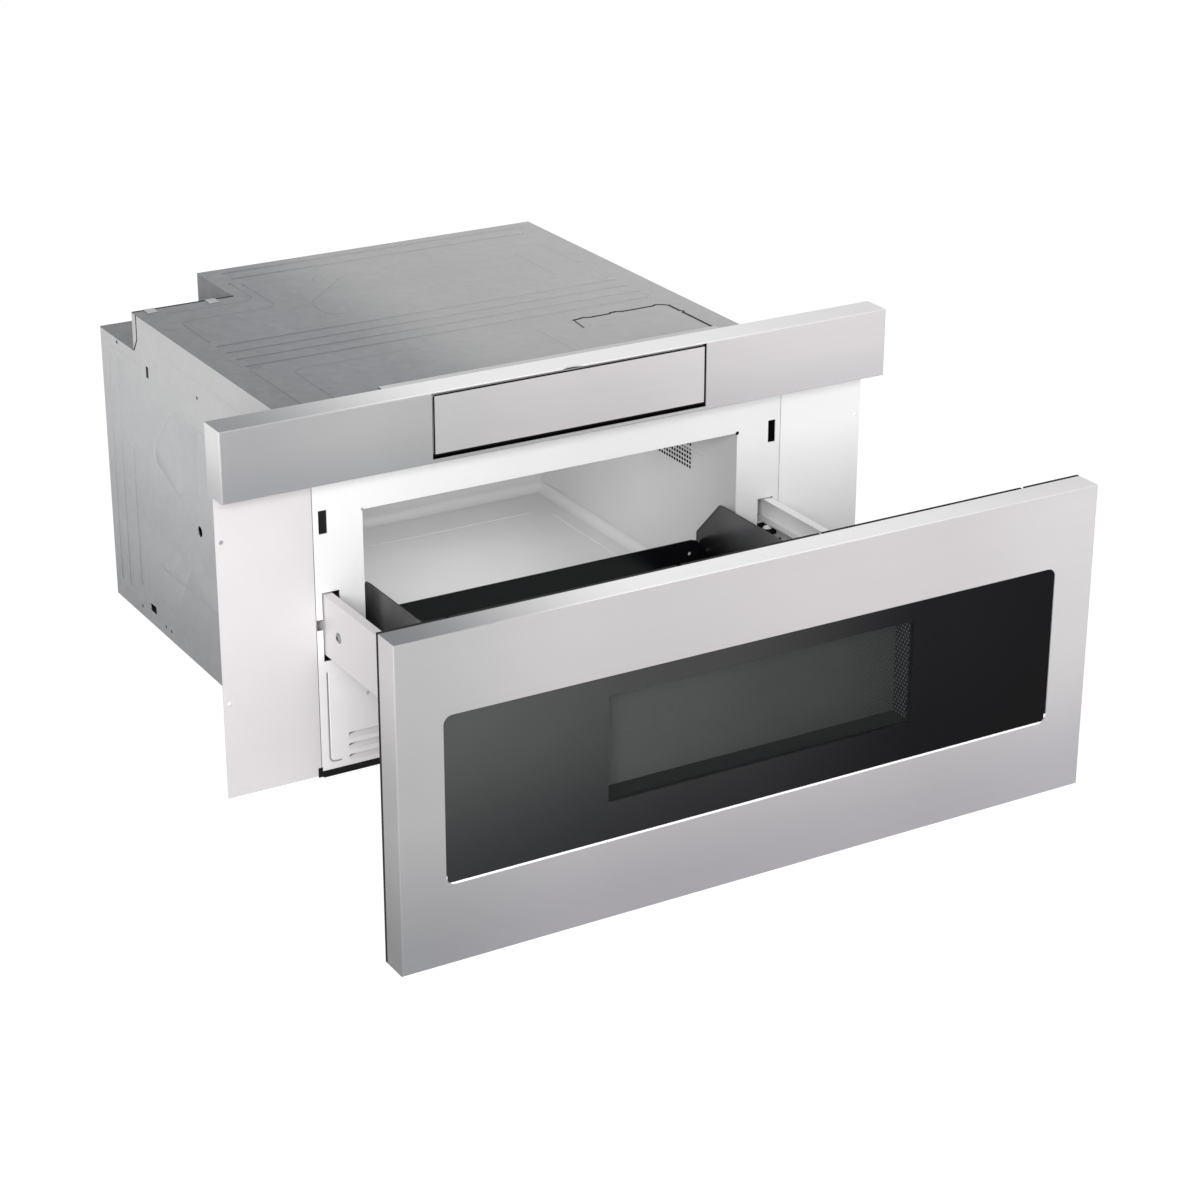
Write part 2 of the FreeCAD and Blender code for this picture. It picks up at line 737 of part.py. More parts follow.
def bay_outline(gap):
    """The outline of the control bay, its back and right edges drawn in by a gap and jogged twice."""
    jog = bay_step / 4
    back = bay_back - gap
    right = bay_right - gap
    tab = bay_left + 5 * bay_step
    corner = right - bay_step
    return [(bay_left, bay_front), (right, bay_front), (right, bay_back - 3 * bay_step),
            (right + jog, bay_back - 3 * bay_step + jog), (right, bay_back - 3 * bay_step + 2 * jog),
            (right, back - bay_step / 2), (right - bay_step / 2, back),
            (corner, back + jog / 2), (corner - bay_step / 2, back),
            (tab + bay_step, back), (tab + bay_step / 2, back + jog), (tab, back + jog),
            (tab - bay_step / 2, back), (bay_left + 2 * bay_step, back),
            (bay_left + bay_step, back + jog / 2), (bay_left, back - jog / 2)]


def top_cover():
    """The lid of the chassis with its pressed beads and the opening of the control bay."""
    body = plate("top_cover", "XY_Plane", (cover_under, chassis_height),
                 [chain(cover_outline()), chain(bay_outline(0))])
    depth = (chassis_height - bead_depth, chassis_height)
    rear = frame(rear_rib_start, cover_rib_reach, rear_rib_place, rear_rib_place + rib_width, rib_width / 3)
    back = pocket(body, "back_bead", "XY_Plane", depth, [rear])
    repeat(body, "back_beads", back, "Y_Axis", rib_pitch, 2)
    long_bead = frame(-cover_rib_reach, cover_rib_reach, cover_rib_place, cover_rib_place + rib_width,
                      rib_width / 3)
    first = pocket(body, "middle_bead", "XY_Plane", depth, [long_bead])
    repeat(body, "middle_beads", first, "Y_Axis", 3 * rib_pitch, 4)
    return node("top_cover", body)


def notch_pan():
    """The recess at the back left: a ledge and two upright walls, with the hole of the cord gland."""
    ledge = block("recess_ledge", (-chassis_half, notch_side + panel_sheet), (notch_front, chassis_depth),
                  (notch_ledge - panel_sheet, notch_ledge))
    front_wall = block("recess_front", (-inner_half, notch_side + panel_sheet),
                       (notch_front - panel_sheet, notch_front), (notch_ledge - panel_sheet, cover_under))
    side_wall = block("recess_side", (notch_side, notch_side + panel_sheet), (notch_front, back_inner),
                      (notch_ledge - panel_sheet, cover_under))
    slot = block("recess_edge", (notch_side, notch_side + 2 * panel_sheet), (back_inner, chassis_depth),
                 (notch_ledge - 2 * panel_sheet, notch_ledge + panel_sheet))
    seat = rod("gland_seat", "y", gland_centre(), (notch_front - panel_sheet, notch_front), gland_neck)
    shell = joined("recess_walls", [ledge, front_wall, side_wall])
    return node("notch_pan", less("recess_drilled", shell, [slot, seat]))


def gland_centre():
    """The middle of the cord gland, across and up."""
    return (notch_side - notch_width / 2, (notch_ledge + cover_under) / 2)


def cord_gland():
    """A bush through the recess wall: a flange outside, a neck through the sheet and a nut inside."""
    centre = gland_centre()
    flange = rod("gland_flange", "y", centre, (notch_front, notch_front + gland_length / 4), gland_radius)
    neck = rod("gland_neck", "y", centre, (notch_front - gland_length, notch_front + gland_length / 4),
               gland_neck - screw_hole_gap)
    nut = rod("gland_nut", "y", centre,
              (notch_front - panel_sheet - gland_length / 4, notch_front - panel_sheet), gland_radius)
    bore = rod("gland_bore", "y", centre, (notch_front - 2 * gland_length, notch_front + gland_length),
               gland_bore)
    return node("cord_gland", less("gland", joined("gland_solid", [flange, neck, nut]), [bore]))


def back_panel():
    """The back of the chassis with its air grilles, stepped round the recess."""
    outline = [(-inner_half, 0), (inner_half, 0), (inner_half, cover_under), (notch_side, cover_under),
               (notch_side, notch_ledge - panel_sheet), (-inner_half, notch_ledge - panel_sheet)]
    body = plate("back_panel", "XZ_Plane", (back_inner, chassis_depth), [chain(outline)])
    reach = fan_radius * 0.8
    for name, middle in (("fan_grille", fan_place), ("outlet_grille", supply_left + supply_width / 2)):
        first = frame(middle - reach, middle + reach, fan_rise - reach, fan_rise - reach + louvre_slot,
                      louvre_slot / 3)
        slot = pocket(body, name, "XZ_Plane", (back_inner, chassis_depth), [first])
        repeat(body, f"{name}_row", slot, "Z_Axis", 2 * reach - louvre_slot, 7)
    return node("back_panel", body)


def control_bay_cover():
    """The lid of the control bay, flush with the top cover and carried by a lip under it."""
    body = plate("control_bay_cover", "XY_Plane", (cover_under, chassis_height),
                 [chain(bay_outline(bay_gap))])
    lip = frame(bay_left - bay_lap, bay_right + bay_lap / 2, bay_front - bay_lap, bay_back + bay_lap)
    pad(body, "bay_lip", "XY_Plane", (cover_under - panel_sheet, cover_under), [lip])
    return node("control_bay_cover", body)


def front_frame():
    """The white front of the chassis: oven opening, latch holes, rail slots, louvres and corner reliefs."""
    step_half = housing_half + seat_gap
    step_low = housing_low - seat_gap
    outline = [(-frame_half, guide_height), (frame_half, guide_height), (frame_half, chassis_height),
               (step_half, chassis_height), (step_half, step_low), (-step_half, step_low),
               (-step_half, chassis_height), (-frame_half, chassis_height)]
    openings = [frame(-opening_half, opening_half, opening_low, opening_high)]
    for side in (-1, 1):
        openings.append(frame(side * latch_hole_near, side * latch_hole_far,
                              latch_hole_low, latch_hole_high, relief_radius / 2))
        notch_far = slot_far + slot_notch_width
        openings.append(chain([(side * slot_near, slot_low), (side * slot_far, slot_low),
                               (side * slot_far, slot_notch_low), (side * notch_far, slot_notch_low),
                               (side * notch_far, slot_notch_high), (side * slot_far, slot_notch_high),
                               (side * slot_far, slot_high), (side * slot_near, slot_high)]))
    body = plate("front_frame", "XZ_Plane", (0, face_sheet), [chain(outline)] + openings)
    louvres = [frame(side * louvre_start, side * (louvre_start - louvre_length),
                     louvre_first - louvre_slot / 2, louvre_first + louvre_slot / 2, louvre_slot / 3)
               for side in (-1, 1)]
    first = pocket(body, "louvre", "XZ_Plane", (0, face_sheet), louvres)
    repeat(body, "louvres", first, "Z_Axis", 2 * louvre_pitch, 3)
    reliefs = [circle(side * opening_half, z, relief_radius) for side in (-1, 1)
               for z in (opening_low, opening_high)]
    pocket(body, "corner_reliefs", "XZ_Plane", (0, face_sheet), reliefs)
    return node("front_frame", body)


def flange(label, side):
    """A white side flange that covers the cabinet's edge, with a lip screwed to the chassis side."""
    root = side * chassis_half
    outline = [(root, 0), (side * flange_half, 0), (side * flange_half, face_sheet),
               (root + side * face_sheet, face_sheet), (root + side * face_sheet, flange_lip),
               (root, flange_lip)]
    body = plate(f"{label}_sheet", "XY_Plane", (0, trim_inner_top), [chain(outline)])
    cabinet_holes = [rod(f"{label}_hole", "y", (side * cabinet_screw_x, z), (0, face_sheet),
                         cabinet_hole_radius)
                     for z in (cabinet_screw_low, cabinet_screw_high)]
    seats = [rod(f"{label}_seat", "x", (flange_lip / 2, z), (root, root + side * face_sheet),
                 screw_radius + screw_hole_gap) for z in chassis_screw_heights()]
    over_lip = block(f"{label}_lip_top", (root, root + side * face_sheet),
                     (face_sheet, flange_lip + panel_sheet), (cover_under, trim_inner_top + panel_sheet))
    return node(label, less(f"{label}_drilled", body, cabinet_holes + seats + [over_lip]))


def chassis_screws():
    """The six screws through the flange lips into the chassis sides."""
    screws = []
    for side in (-1, 1):
        lip = side * (chassis_half + face_sheet)
        for z in chassis_screw_heights():
            place = (flange_lip / 2, z)
            head = rod("lip_screw_head", "x", place, (lip, lip + side * screw_head_height),
                       screw_head_radius)
            shank = rod("lip_screw_shank", "x", place, (side * (inner_half - 6 * panel_sheet), lip),
                        screw_radius)
            screws.append(joined("lip_screw", [head, shank]))
    return node("chassis_screws", group("chassis_screw_set", screws))


def air_guide():
    """The black strip under the frame, with a lip in front of it that ends in two small hooks."""
    body = plate("air_guide", "XY_Plane", (0, guide_height),
                 [frame(-inner_half, inner_half, 0, guide_depth)])
    hook = inner_half + guide_hook_width
    step = inner_half - guide_hook_width / 4
    outline = []
    for side in (-1, 1):
        half = [(side * step, guide_lip_rise), (side * inner_half, guide_lip_rise),
                (side * inner_half, guide_hook_rise), (side * hook, guide_hook_rise),
                (side * hook, -guide_lip_drop / 2), (side * inner_half, -guide_lip_drop / 2),
                (side * step, -guide_lip_drop)]
        outline += half if side > 0 else list(reversed(half))
    pad(body, "guide_lip", "XZ_Plane", (-guide_lip, 0), [chain(outline)])
    return node("air_guide", body)


# ------------------------------------------------------------------ trim and hidden control panel

def trim_shell():
    """The stainless band above the drawer, open at the back, with the opening of the flap."""
    body = doc.addObject("PartDesign::Body", "trim_shell")
    pad(body, "trim_block", "XZ_Plane", (-trim_depth, 0),
        [frame(-trim_half, trim_half, trim_bottom, trim_top)])
    soften(body, "trim_edges", trim_round,
           lambda edge: runs_along(edge, "x") and edge.BoundBox.YMax < -1
           or runs_along(edge, "z") and edge.BoundBox.YMax < -1)
    pocket(body, "trim_hollow", "XZ_Plane", (trim_sheet - trim_depth, 0),
           [frame(trim_sheet - trim_half, trim_half - trim_sheet, trim_bottom + trim_sheet,
                  trim_inner_top)])
    pocket(body, "flap_opening", "XZ_Plane", (-trim_depth, trim_sheet - trim_depth),
           [frame(-flap_opening_half, flap_opening_half, trim_bottom + flap_bottom_rail, trim_inner_top)])
    pocket(body, "finger_scoop", "XY_Plane", (trim_inner_top, trim_top),
           [circle(0, scoop_depth - trim_depth - scoop_radius, scoop_radius)])
    return node("trim_shell", body)


def control_housing():
    """The tray behind the trim that the control panel tilts in, with the seats of its pins."""
    front = trim_sheet - trim_depth
    back = block("housing_back", (-housing_half, housing_half),
                 (housing_depth - housing_wall, housing_depth),
                 (housing_low, trim_inner_top))
    floor = block("housing_floor", (-housing_half, housing_half), (front, housing_depth),
                  (housing_low, housing_low + housing_wall))
    ends = [block("housing_end", (side * (housing_half - housing_wall), side * housing_half),
                  (front, housing_depth), (housing_low, trim_inner_top)) for side in (-1, 1)]
    strip = block("housing_strip", (-housing_strip_width / 2, housing_strip_width / 2), (0, housing_depth),
                  (trim_inner_top, trim_top))
    seats = [rod("pin_seat", "x", (pod_pin_y, pod_pin_z),
                 (side * (housing_half - 2 * housing_wall), side * (housing_half + housing_wall)),
                 pod_pin_radius + running_gap) for side in (-1, 1)]
    shell = joined("housing_shell", [back, floor, strip] + ends)
    return node("control_housing", less("housing", shell, seats))


def pod_section():
    """The wedge of the control panel seen from the side: front, top slope and bottom slope."""
    front = flap_sheet - trim_depth
    return [(front, flap_low + flap_sheet), (front, flap_high - flap_sheet),
            (pod_pin_y + pod_depth, pod_pin_z + pod_back_rise),
            (pod_pin_y + pod_depth, pod_pin_z + pod_back_rise - pod_glass),
            (pod_pin_y + pod_pin_radius, flap_low + flap_sheet)]


def panel_housing():
    """The black body of the control panel, with the two pins that it tilts on."""
    half = flap_half - flap_sheet
    body = plate("pod_wedge", "YZ_Plane", (-half, half), [chain(pod_section())])
    (y0, z0), (y1, z1) = pod_section()[1], pod_section()[2]
    top = [(y0, z0), (y1, z1), (y1, z1 - pod_glass), (y0, z0 - pod_glass)]
    margin = pod_glass
    pocket(body, "glass_seat", "YZ_Plane", (margin - half, half - margin), [chain(top)])
    pins = [rod("pod_pin", "x", (pod_pin_y, pod_pin_z),
                (side * (half - margin), side * (housing_half + 2 * housing_wall)), pod_pin_radius)
            for side in (-1, 1)]
    return node("panel_housing", joined("pod", [body] + pins))


def panel_glass():
    """The black touch glass on the top slope of the control panel."""
    half = flap_half - flap_sheet - pod_glass - seat_gap
    (y0, z0), (y1, z1) = pod_section()[1], pod_section()[2]
    slab = [(y0, z0), (y1, z1), (y1, z1 - pod_glass), (y0, z0 - pod_glass)]
    return node("panel_glass", plate("panel_glass", "YZ_Plane", (-half, half), [chain(slab)]))


def panel_fascia():
    """The stainless front of the control panel, folded back all round."""
    front = -trim_depth
    body = plate("panel_fascia", "XZ_Plane", (front, front + flap_sheet),
                 [frame(-flap_half, flap_half, flap_low, flap_high, 3 * flap_sheet)])
    rim = pad(body, "fascia_rim", "XZ_Plane", (front + flap_sheet, front + flap_return),
              [frame(-flap_half, flap_half, flap_low, flap_high, 3 * flap_sheet),
               frame(flap_sheet - flap_half, flap_half - flap_sheet, flap_low + flap_sheet,
                     flap_high - flap_sheet)])
    rim.Refine = True
    return node("panel_fascia", body)


# ------------------------------------------------------------------ cavity and what feeds it

def cavity_box():
    """The oven cavity, open at the front, with its antenna well and the vent in its right wall."""
    outside = block("cavity_outside", (-cavity_outer, cavity_outer),
                    (face_sheet, cavity_depth + cavity_sheet),
                    (floor_sheet_under, cavity_top + cavity_sheet))
    inside = block("cavity_inside", (-cavity_half, cavity_half), (0, cavity_depth),
                   (floor_sheet_top, cavity_top))
    well = rod("well_outside", "z", (0, antenna_place), (well_under, floor_sheet_under), well_radius)
    well_room = rod("well_room", "z", (0, antenna_place), (well_under + cavity_sheet, floor_sheet_top),
                    well_radius - cavity_sheet)
    shaft_way = rod("shaft_way", "z", (0, antenna_place), (well_under - 1, floor_sheet_top),
                    antenna_shaft_radius * 3)
    shell = less("cavity_shell", joined("cavity_solid", [outside, well]), [inside, well_room, shaft_way])
    holes = plate("vent_holes", "YZ_Plane", (cavity_half - 1, cavity_outer + 1),
                  [circle(vent_front + vent_pitch * column, vent_low,
                          vent_hole_radius) for column in range(14)])
    repeat(holes, "vent_hole_rows", holes.Tip, "Z_Axis", 9 * vent_pitch, 10)
    return node("cavity_box", less("cavity", shell, [holes]))


def cavity_floor_plate():
    """The ceramic plate over the antenna well, flush with the cavity floor."""
    edge = cavity_half - seat_gap
    return node("cavity_floor_plate",
                block("floor_plate", (-edge, edge), (face_sheet + seat_gap, cavity_depth
                - seat_gap), (floor_sheet_top, cavity_floor)))


def waveguide():
    """The duct from the magnetron to the antenna well, on two feet."""
    half = guide_width / 2
    tube = block("guide_outside", (-half, half), (guide_start, guide_end), (guide_low, guide_top))
    hollow = block("guide_inside", (guide_sheet - half, half - guide_sheet),
                   (guide_start + guide_sheet, guide_end - guide_sheet),
                   (guide_low + guide_sheet, guide_top - guide_sheet))
    antenna_way = rod("antenna_way", "z", (0, antenna_place), (guide_low - 1, guide_top + 1),
                      antenna_shaft_radius * 3)
    tube_way = rod("tube_way", "z", (0, magnetron_place), (guide_top - 2 * guide_sheet, guide_top + 1),
                   antenna_shaft_radius * 4)
    feet = [block("guide_foot", (-half, half), (y, y + bay_step), (panel_sheet, guide_low))
            for y in (guide_start, guide_end - bay_step)]
    shell = less("guide_shell", tube, [hollow, antenna_way, tube_way])
    return node("waveguide", joined("guide", [shell] + feet))


def magnetron():
    """The magnetron on the waveguide: base, yoke, anode with its cooling fins, filter box and output."""
    half = magnetron_width / 2
    low = guide_top
    front = magnetron_place - magnetron_depth / 2
    back = magnetron_place + magnetron_depth / 2
    base = block("magnetron_base", (-half, half), (front, back), (low, low + 2 * fin_sheet))
    top = block("magnetron_top", (-half, half), (front, back),
                (low + magnetron_height - 2 * fin_sheet, low + magnetron_height))
    sides = [block("magnetron_side", (side * (half - 2 * fin_sheet), side * half), (front, back),
                   (low, low + magnetron_height)) for side in (-1, 1)]
    anode = rod("magnetron_anode", "z", (0, magnetron_place), (low, low + magnetron_height),
                magnetron_depth / 4)
    output = rod("magnetron_output", "z", (0, magnetron_place), (low - guide_rise / 2, low),
                 antenna_shaft_radius * 3)
    stack = doc.addObject("PartDesign::Body", "magnetron_fins")
    first = low + magnetron_height / 2 - fin_pitch * (fin_count - 1) / 2
    fin = pad(stack, "magnetron_fin", "XY_Plane", (first, first + fin_sheet),
              [frame(-half, half, front, back)])
    repeat(stack, "magnetron_fin_row", fin, "Z_Axis", fin_pitch * (fin_count - 1), fin_count)
    return node("magnetron", joined("magnetron_unit", [base, top, anode, output, stack] + sides))


def antenna_motor():
    """The slow motor under the waveguide that turns the antenna."""
    can = rod("antenna_motor_can", "z", (0, antenna_place), (guide_low - antenna_motor_height, guide_low),
              antenna_motor_radius)
    ears = block("antenna_motor_ears", (-antenna_motor_radius * 1.3, antenna_motor_radius * 1.3),
                 (antenna_place - bay_step / 2, antenna_place + bay_step / 2),
                 (guide_low - guide_sheet, guide_low))
    socket = rod("antenna_socket", "z", (0, antenna_place),
                 (guide_low - antenna_motor_height / 2, guide_low + 1),
                 antenna_shaft_radius + running_gap)
    return node("antenna_motor", less("antenna_motor_unit", joined("antenna_motor_solid", [can, ears]),
                                      [socket]))


def rotating_antenna():
    """The turning antenna: a disc with two ports on a shaft that stands in the motor."""
    level = well_under + well_drop / 2
    disc = rod("antenna_disc", "z", (0, antenna_place), (level, level + antenna_sheet), antenna_radius)
    ports = [block("antenna_port", (-antenna_radius / 2, antenna_radius / 2), (antenna_place + low,
             antenna_place + low + bay_step), (level - 1, level + antenna_sheet + 1))
             for low in (antenna_radius * 0.35, -antenna_radius * 0.35 - bay_step)]
    shaft = rod("antenna_shaft", "z", (0, antenna_place),
                (guide_low - antenna_motor_height / 2 + seat_gap, level + antenna_sheet),
                antenna_shaft_radius)
    return node("rotating_antenna", joined("antenna", [less("antenna_plate", disc, ports), shaft]))


def fan_housing():
    """The fan's housing against the back panel, open to the grille and to the magnetron."""
    half = fan_radius + fan_tip_gap + fan_wall
    outside = block("fan_outside", (fan_place - half, fan_place + half), (fan_front, back_inner),
                    (fan_rise - half, fan_rise + half))
    room = rod("fan_room", "y", (fan_place, fan_rise), (fan_front + fan_wall, back_inner + 1),
               fan_radius + fan_tip_gap)
    mouth = block("fan_mouth", (fan_place, fan_place + 2 * half),
                  (fan_front + fan_wall, back_inner - fan_wall),
                  (fan_rise, fan_rise + fan_radius))
    shaft_way = rod("fan_shaft_way", "y", (fan_place, fan_rise), (fan_front - 1, back_inner),
                    fan_shaft_radius * 2)
    return node("fan_housing", less("fan_shell", outside, [room, mouth, shaft_way]))


def fan_motor():
    """The fan's motor on the front of its housing."""
    can = rod("fan_motor_can", "y", (fan_place, fan_rise), (fan_front - fan_motor_depth, fan_front),
              fan_motor_radius)
    socket = rod("fan_socket", "y", (fan_place, fan_rise), (fan_front - fan_motor_depth / 2, fan_front + 1),
                 fan_shaft_radius + running_gap)
    return node("fan_motor", less("fan_motor_unit", can, [socket]))


def fan_impeller():
    """The fan wheel: back plate, hub, shaft and a ring of blades."""
    plane_low = fan_front + fan_wall * 2
    plane_high = back_inner - fan_wall
    body = plate("impeller_blades", "XZ_Plane", (plane_low, plane_high),
                 [frame(fan_radius * 0.78, fan_radius * 0.96, -fan_wall / 2, fan_wall / 2)])
    ring = body.newObject("PartDesign::PolarPattern", "impeller_ring")
    ring.Originals = [body.getObject("impeller_blades_pad")]
    ring.Axis = (origin_part(body, "Y_Axis"), [""])
    ring.Angle = 360
    bind(ring, "Occurrences", fan_blade_count)
    body.Tip = ring
    bind(body, "Placement.Base.x", fan_place)
    bind(body, "Placement.Base.z", fan_rise)
    disc = rod("impeller_disc", "y", (fan_place, fan_rise), (plane_low - fan_wall / 2, plane_low),
               fan_radius)
    hub = rod("impeller_hub", "y", (fan_place, fan_rise),
              (plane_low - fan_wall / 2, plane_high - fan_depth / 3),
              fan_shaft_radius * 3)
    shaft = rod("impeller_shaft", "y", (fan_place, fan_rise),
                (fan_front - fan_motor_depth / 2 + seat_gap, plane_high - fan_depth / 3), fan_shaft_radius)
    return node("fan_impeller", joined("impeller", [disc, hub, shaft, body]))


def inverter_supply():
    """The high voltage supply on the base: board, transformer, heat sink and its feet."""
    right = supply_left + supply_width
    back = supply_front + supply_depth
    foot = bay_step / 2
    board_low = panel_sheet + foot
    board = block("supply_board", (supply_left, right), (supply_front, back),
                  (board_low, board_low + board_sheet))
    feet = [block("supply_foot", (x, x + foot), (y, y + foot), (panel_sheet, board_low))
            for x in (supply_left, right - foot) for y in (supply_front, back - foot)]
    core = block("supply_core", (supply_left + foot, supply_left + supply_width * 0.5),
                 (supply_front + foot, back - foot), (board_low, supply_height * 0.75))
    winding = rod("supply_winding", "y", (supply_left + supply_width * 0.28, supply_height * 0.45),
                  (supply_front + foot / 2, back - foot / 2), supply_height * 0.22)
    sink = block("supply_sink", (right - foot * 4, right - foot), (supply_front + foot, back - foot),
                 (board_low, supply_height))
    return node("inverter_supply", joined("supply", [board, core, winding, sink] + feet))


def cavity_lamp():
    """The lamp holder on the cavity's right wall, behind the vent holes."""
    holder = block("lamp_holder", (cavity_outer, cavity_outer + lamp_depth),
                   (lamp_front, lamp_front + lamp_size),
                   (lamp_low, lamp_low + lamp_size))
    room = block("lamp_room", (cavity_outer - 1, cavity_outer + lamp_depth - 2 * fan_wall),
                 (lamp_front + fan_wall, lamp_front + lamp_size - fan_wall),
                 (lamp_low + fan_wall, lamp_low + lamp_size - fan_wall))
    bulb = rod("lamp_bulb", "y", (cavity_outer + lamp_depth / 2, lamp_low + lamp_size / 2),
               (lamp_front, lamp_front + lamp_size / 2), lamp_depth / 4)
    return node("cavity_lamp", joined("lamp", [less("lamp_box", holder, [room]), bulb]))


def control_board():
    """The control board, hung by four posts from the underside of the bay's lid."""
    margin = bay_step
    top = cover_under - panel_sheet
    low = top - board_drop
    board = block("control_board_sheet", (bay_left, bay_right - margin),
                  (bay_front + margin, bay_back - margin),
                  (low - board_sheet, low))
    posts = [rod("board_post", "z", (x, y), (low, top), board_post)
             for x in (bay_left + margin, bay_right - 2 * margin)
             for y in (bay_front + 2 * margin, bay_back - 2 * margin)]
    relay = block("board_relay", (bay_left + 3 * margin, bay_left + 5 * margin),
                  (bay_front + 4 * margin, bay_front + 6 * margin), (low, low + margin))
    return node("control_board", joined("board", [board, relay] + posts))


# ------------------------------------------------------------------ slides and drive

def fixed_slide(label, side):
    """The slide member on the chassis, held to the cavity wall by two brackets."""
    web = side * fixed_web
    tips = side * (ball_x - slide_tip_gap / 2)
    rail = channel(f"{label}_rail", web, tips, slide_low, slide_high, slide_sheet,
                   (face_sheet, slide_reach))
    brackets = [block("slide_bracket", (side * cavity_outer, web), (y, y + rib_pitch),
                      (slide_low, slide_high))
                for y in (2 * pinion_place, cavity_depth - 2 * rib_pitch)]
    return node(label, joined(f"{label}_member", [rail] + brackets))


def moving_slide(label, side):
    """The slide member inside the door rail."""
    rail = channel(f"{label}_rail", side * rail_inner, side * (ball_x + slide_tip_gap / 2), slide_low,
                   slide_high,
                   slide_sheet, (door_cover_rear + slide_head, rail_tail))
    seats = [rod(f"{label}_seat", "x", (y, rail_screw_height()), (side * (rail_inner - slide_sheet),
             side * rail_inner), screw_radius + screw_hole_gap) for y in rail_screw_places()]
    return node(label, less(f"{label}_member", rail, seats))


def rail_screw_places():
    """Where the screws that hold the moving slide in the door rail sit along it."""
    return [rail_screw_place + rail_screw_pitch * step for step in (-2, -1, 0, 1)]


def rail_screw_height():
    """How high the rail screws sit."""
    return slide_centre - 3 * slide_sheet / 2


def cage_balls():
    """Where the balls of a cage sit along it, when the drawer is open."""
    return [ball_pitch * step + cage_end - cage_lead for step in range(4)]


def ball_cage(label, side):
    """The black cage that keeps the balls apart between the two slide members."""
    balls = cage_balls()
    bar = block(f"{label}_bar", (side * cage_near, side * cage_far),
                (balls[0] - cage_end, balls[-1] + cage_end), (slide_centre - cage_height / 2,
                                                              slide_centre + cage_height / 2))
    wells = [rod(f"{label}_well", "z", (side * ball_x, y),
                 (slide_centre - cage_height, slide_centre + cage_height),
                 ball_radius + seat_gap) for y in balls]
    return node(label, less(f"{label}_drilled", bar, wells))


def slide_balls(label, side):
    """The balls of one slide."""
    balls = []
    for y in cage_balls():
        ball = doc.addObject("Part::Sphere", f"{label}_ball")
        bind(ball, "Radius", ball_radius)
        bind(ball, "Placement.Base.x", side * ball_x)
        bind(ball, "Placement.Base.y", y)
        bind(ball, "Placement.Base.z", slide_centre)
        balls.append(ball)
    return node(label, group(f"{label}_set", balls))


def door_rail(label, side):
    """A deep white rail that carries the door and runs into its slot in the frame."""
    body = channel(f"{label}_channel", side * rail_outer, side * rail_tip, rail_low, rail_high, rail_sheet,
                   (door_cover_rear, rail_tail))
    seats = [rod(f"{label}_seat", "x", (y, rail_screw_height()), (side * rail_inner, side * rail_outer),
                 screw_radius + screw_hole_gap) for y in rail_screw_places()]
    return node(label, less(f"{label}_drilled", body, seats))


def rail_screws():
    """The screws with their washers that hold the moving slides in the door rails."""
    screws = []
    for side in (-1, 1):
        face = side * rail_outer
        for y in rail_screw_places():
            place = (y, rail_screw_height())
            washer = rod("rail_washer", "x", place, (face, face + side * washer_sheet), washer_radius)
            head = rod("rail_screw_head", "x", place,
                       (face, face + side * (washer_sheet + screw_head_height / 2)),
                       screw_head_radius)
            shank = rod("rail_screw_shank", "x", place, (side * (rail_inner - slide_sheet), face),
                        screw_radius)
            screws.append(joined("rail_screw", [washer, head, shank]))
    return node("rail_screws", group("rail_screw_set", screws))


tooth_pitch = math.pi * tooth_module
pitch_line = rail_outer - rack_tip_inset + tooth_module
PINION_TEETH = 20
PRESSURE = math.radians(20)
pinion_radius = tooth_module * PINION_TEETH / 2
pinion_x = pitch_line - pinion_radius


def drive_rack():
    """The rack in the right door rail, its teeth towards the middle of the oven."""
    tip = pitch_line - tooth_module
    root = pitch_line + 1.25 * tooth_module
    first = pinion_place - tooth_pitch * (rack_tooth_count - 4)
    last = first + tooth_pitch * (rack_tooth_count - 1)
    body = plate("rack_bar", "XY_Plane", (rack_low, rack_low + rack_height),
                 [frame(tip, rail_inner, first - tooth_pitch / 2, last + tooth_pitch / 2)])
    slope = math.tan(PRESSURE)
    wide = tooth_pitch / 4 + backlash / 2 + slope * 1.5 * tooth_module
    narrow = tooth_pitch / 4 + backlash / 2 - slope * 1.25 * tooth_module
    mouth = tip - tooth_module / 2
    gap = pocket(body, "rack_gap", "XY_Plane", (rack_low, rack_low + rack_height),
                 [chain([(mouth, first - wide), (root, first - narrow), (root, first + narrow),
                         (mouth, first + wide)])])
    repeat(body, "rack_gaps", gap, "Y_Axis", last - first, rack_tooth_count)
    return node("drive_rack", body)


def pinion_outline(module):
    """One closed wire round an involute pinion, worked out tooth by tooth."""
    pitch = module * PINION_TEETH / 2
    base = pitch * math.cos(PRESSURE)
    root = pitch - 1.25 * module
    outer = pitch + module
    half_at_pitch = math.pi / (2 * PINION_TEETH)
    steps = 5
    flank = []
    for step in range(steps + 1):
        radius = base + (outer - base) * step / steps
        roll = math.acos(base / radius)
        turn = half_at_pitch + math.tan(PRESSURE) - PRESSURE - (math.tan(roll) - roll)
        flank.append((radius, turn))
    points = []
    for tooth in range(PINION_TEETH):
        middle = 2 * math.pi * tooth / PINION_TEETH
        points.append((root, middle - flank[0][1]))
        points += [(radius, middle - turn) for radius, turn in flank]
        points += [(radius, middle + turn) for radius, turn in reversed(flank)]
        points.append((root, middle + flank[0][1]))
    corners = [FreeCAD.Vector(radius * math.cos(angle), radius * math.sin(angle), 0) for radius,
               angle in points]
    return Part.makePolygon(corners + [corners[0]])


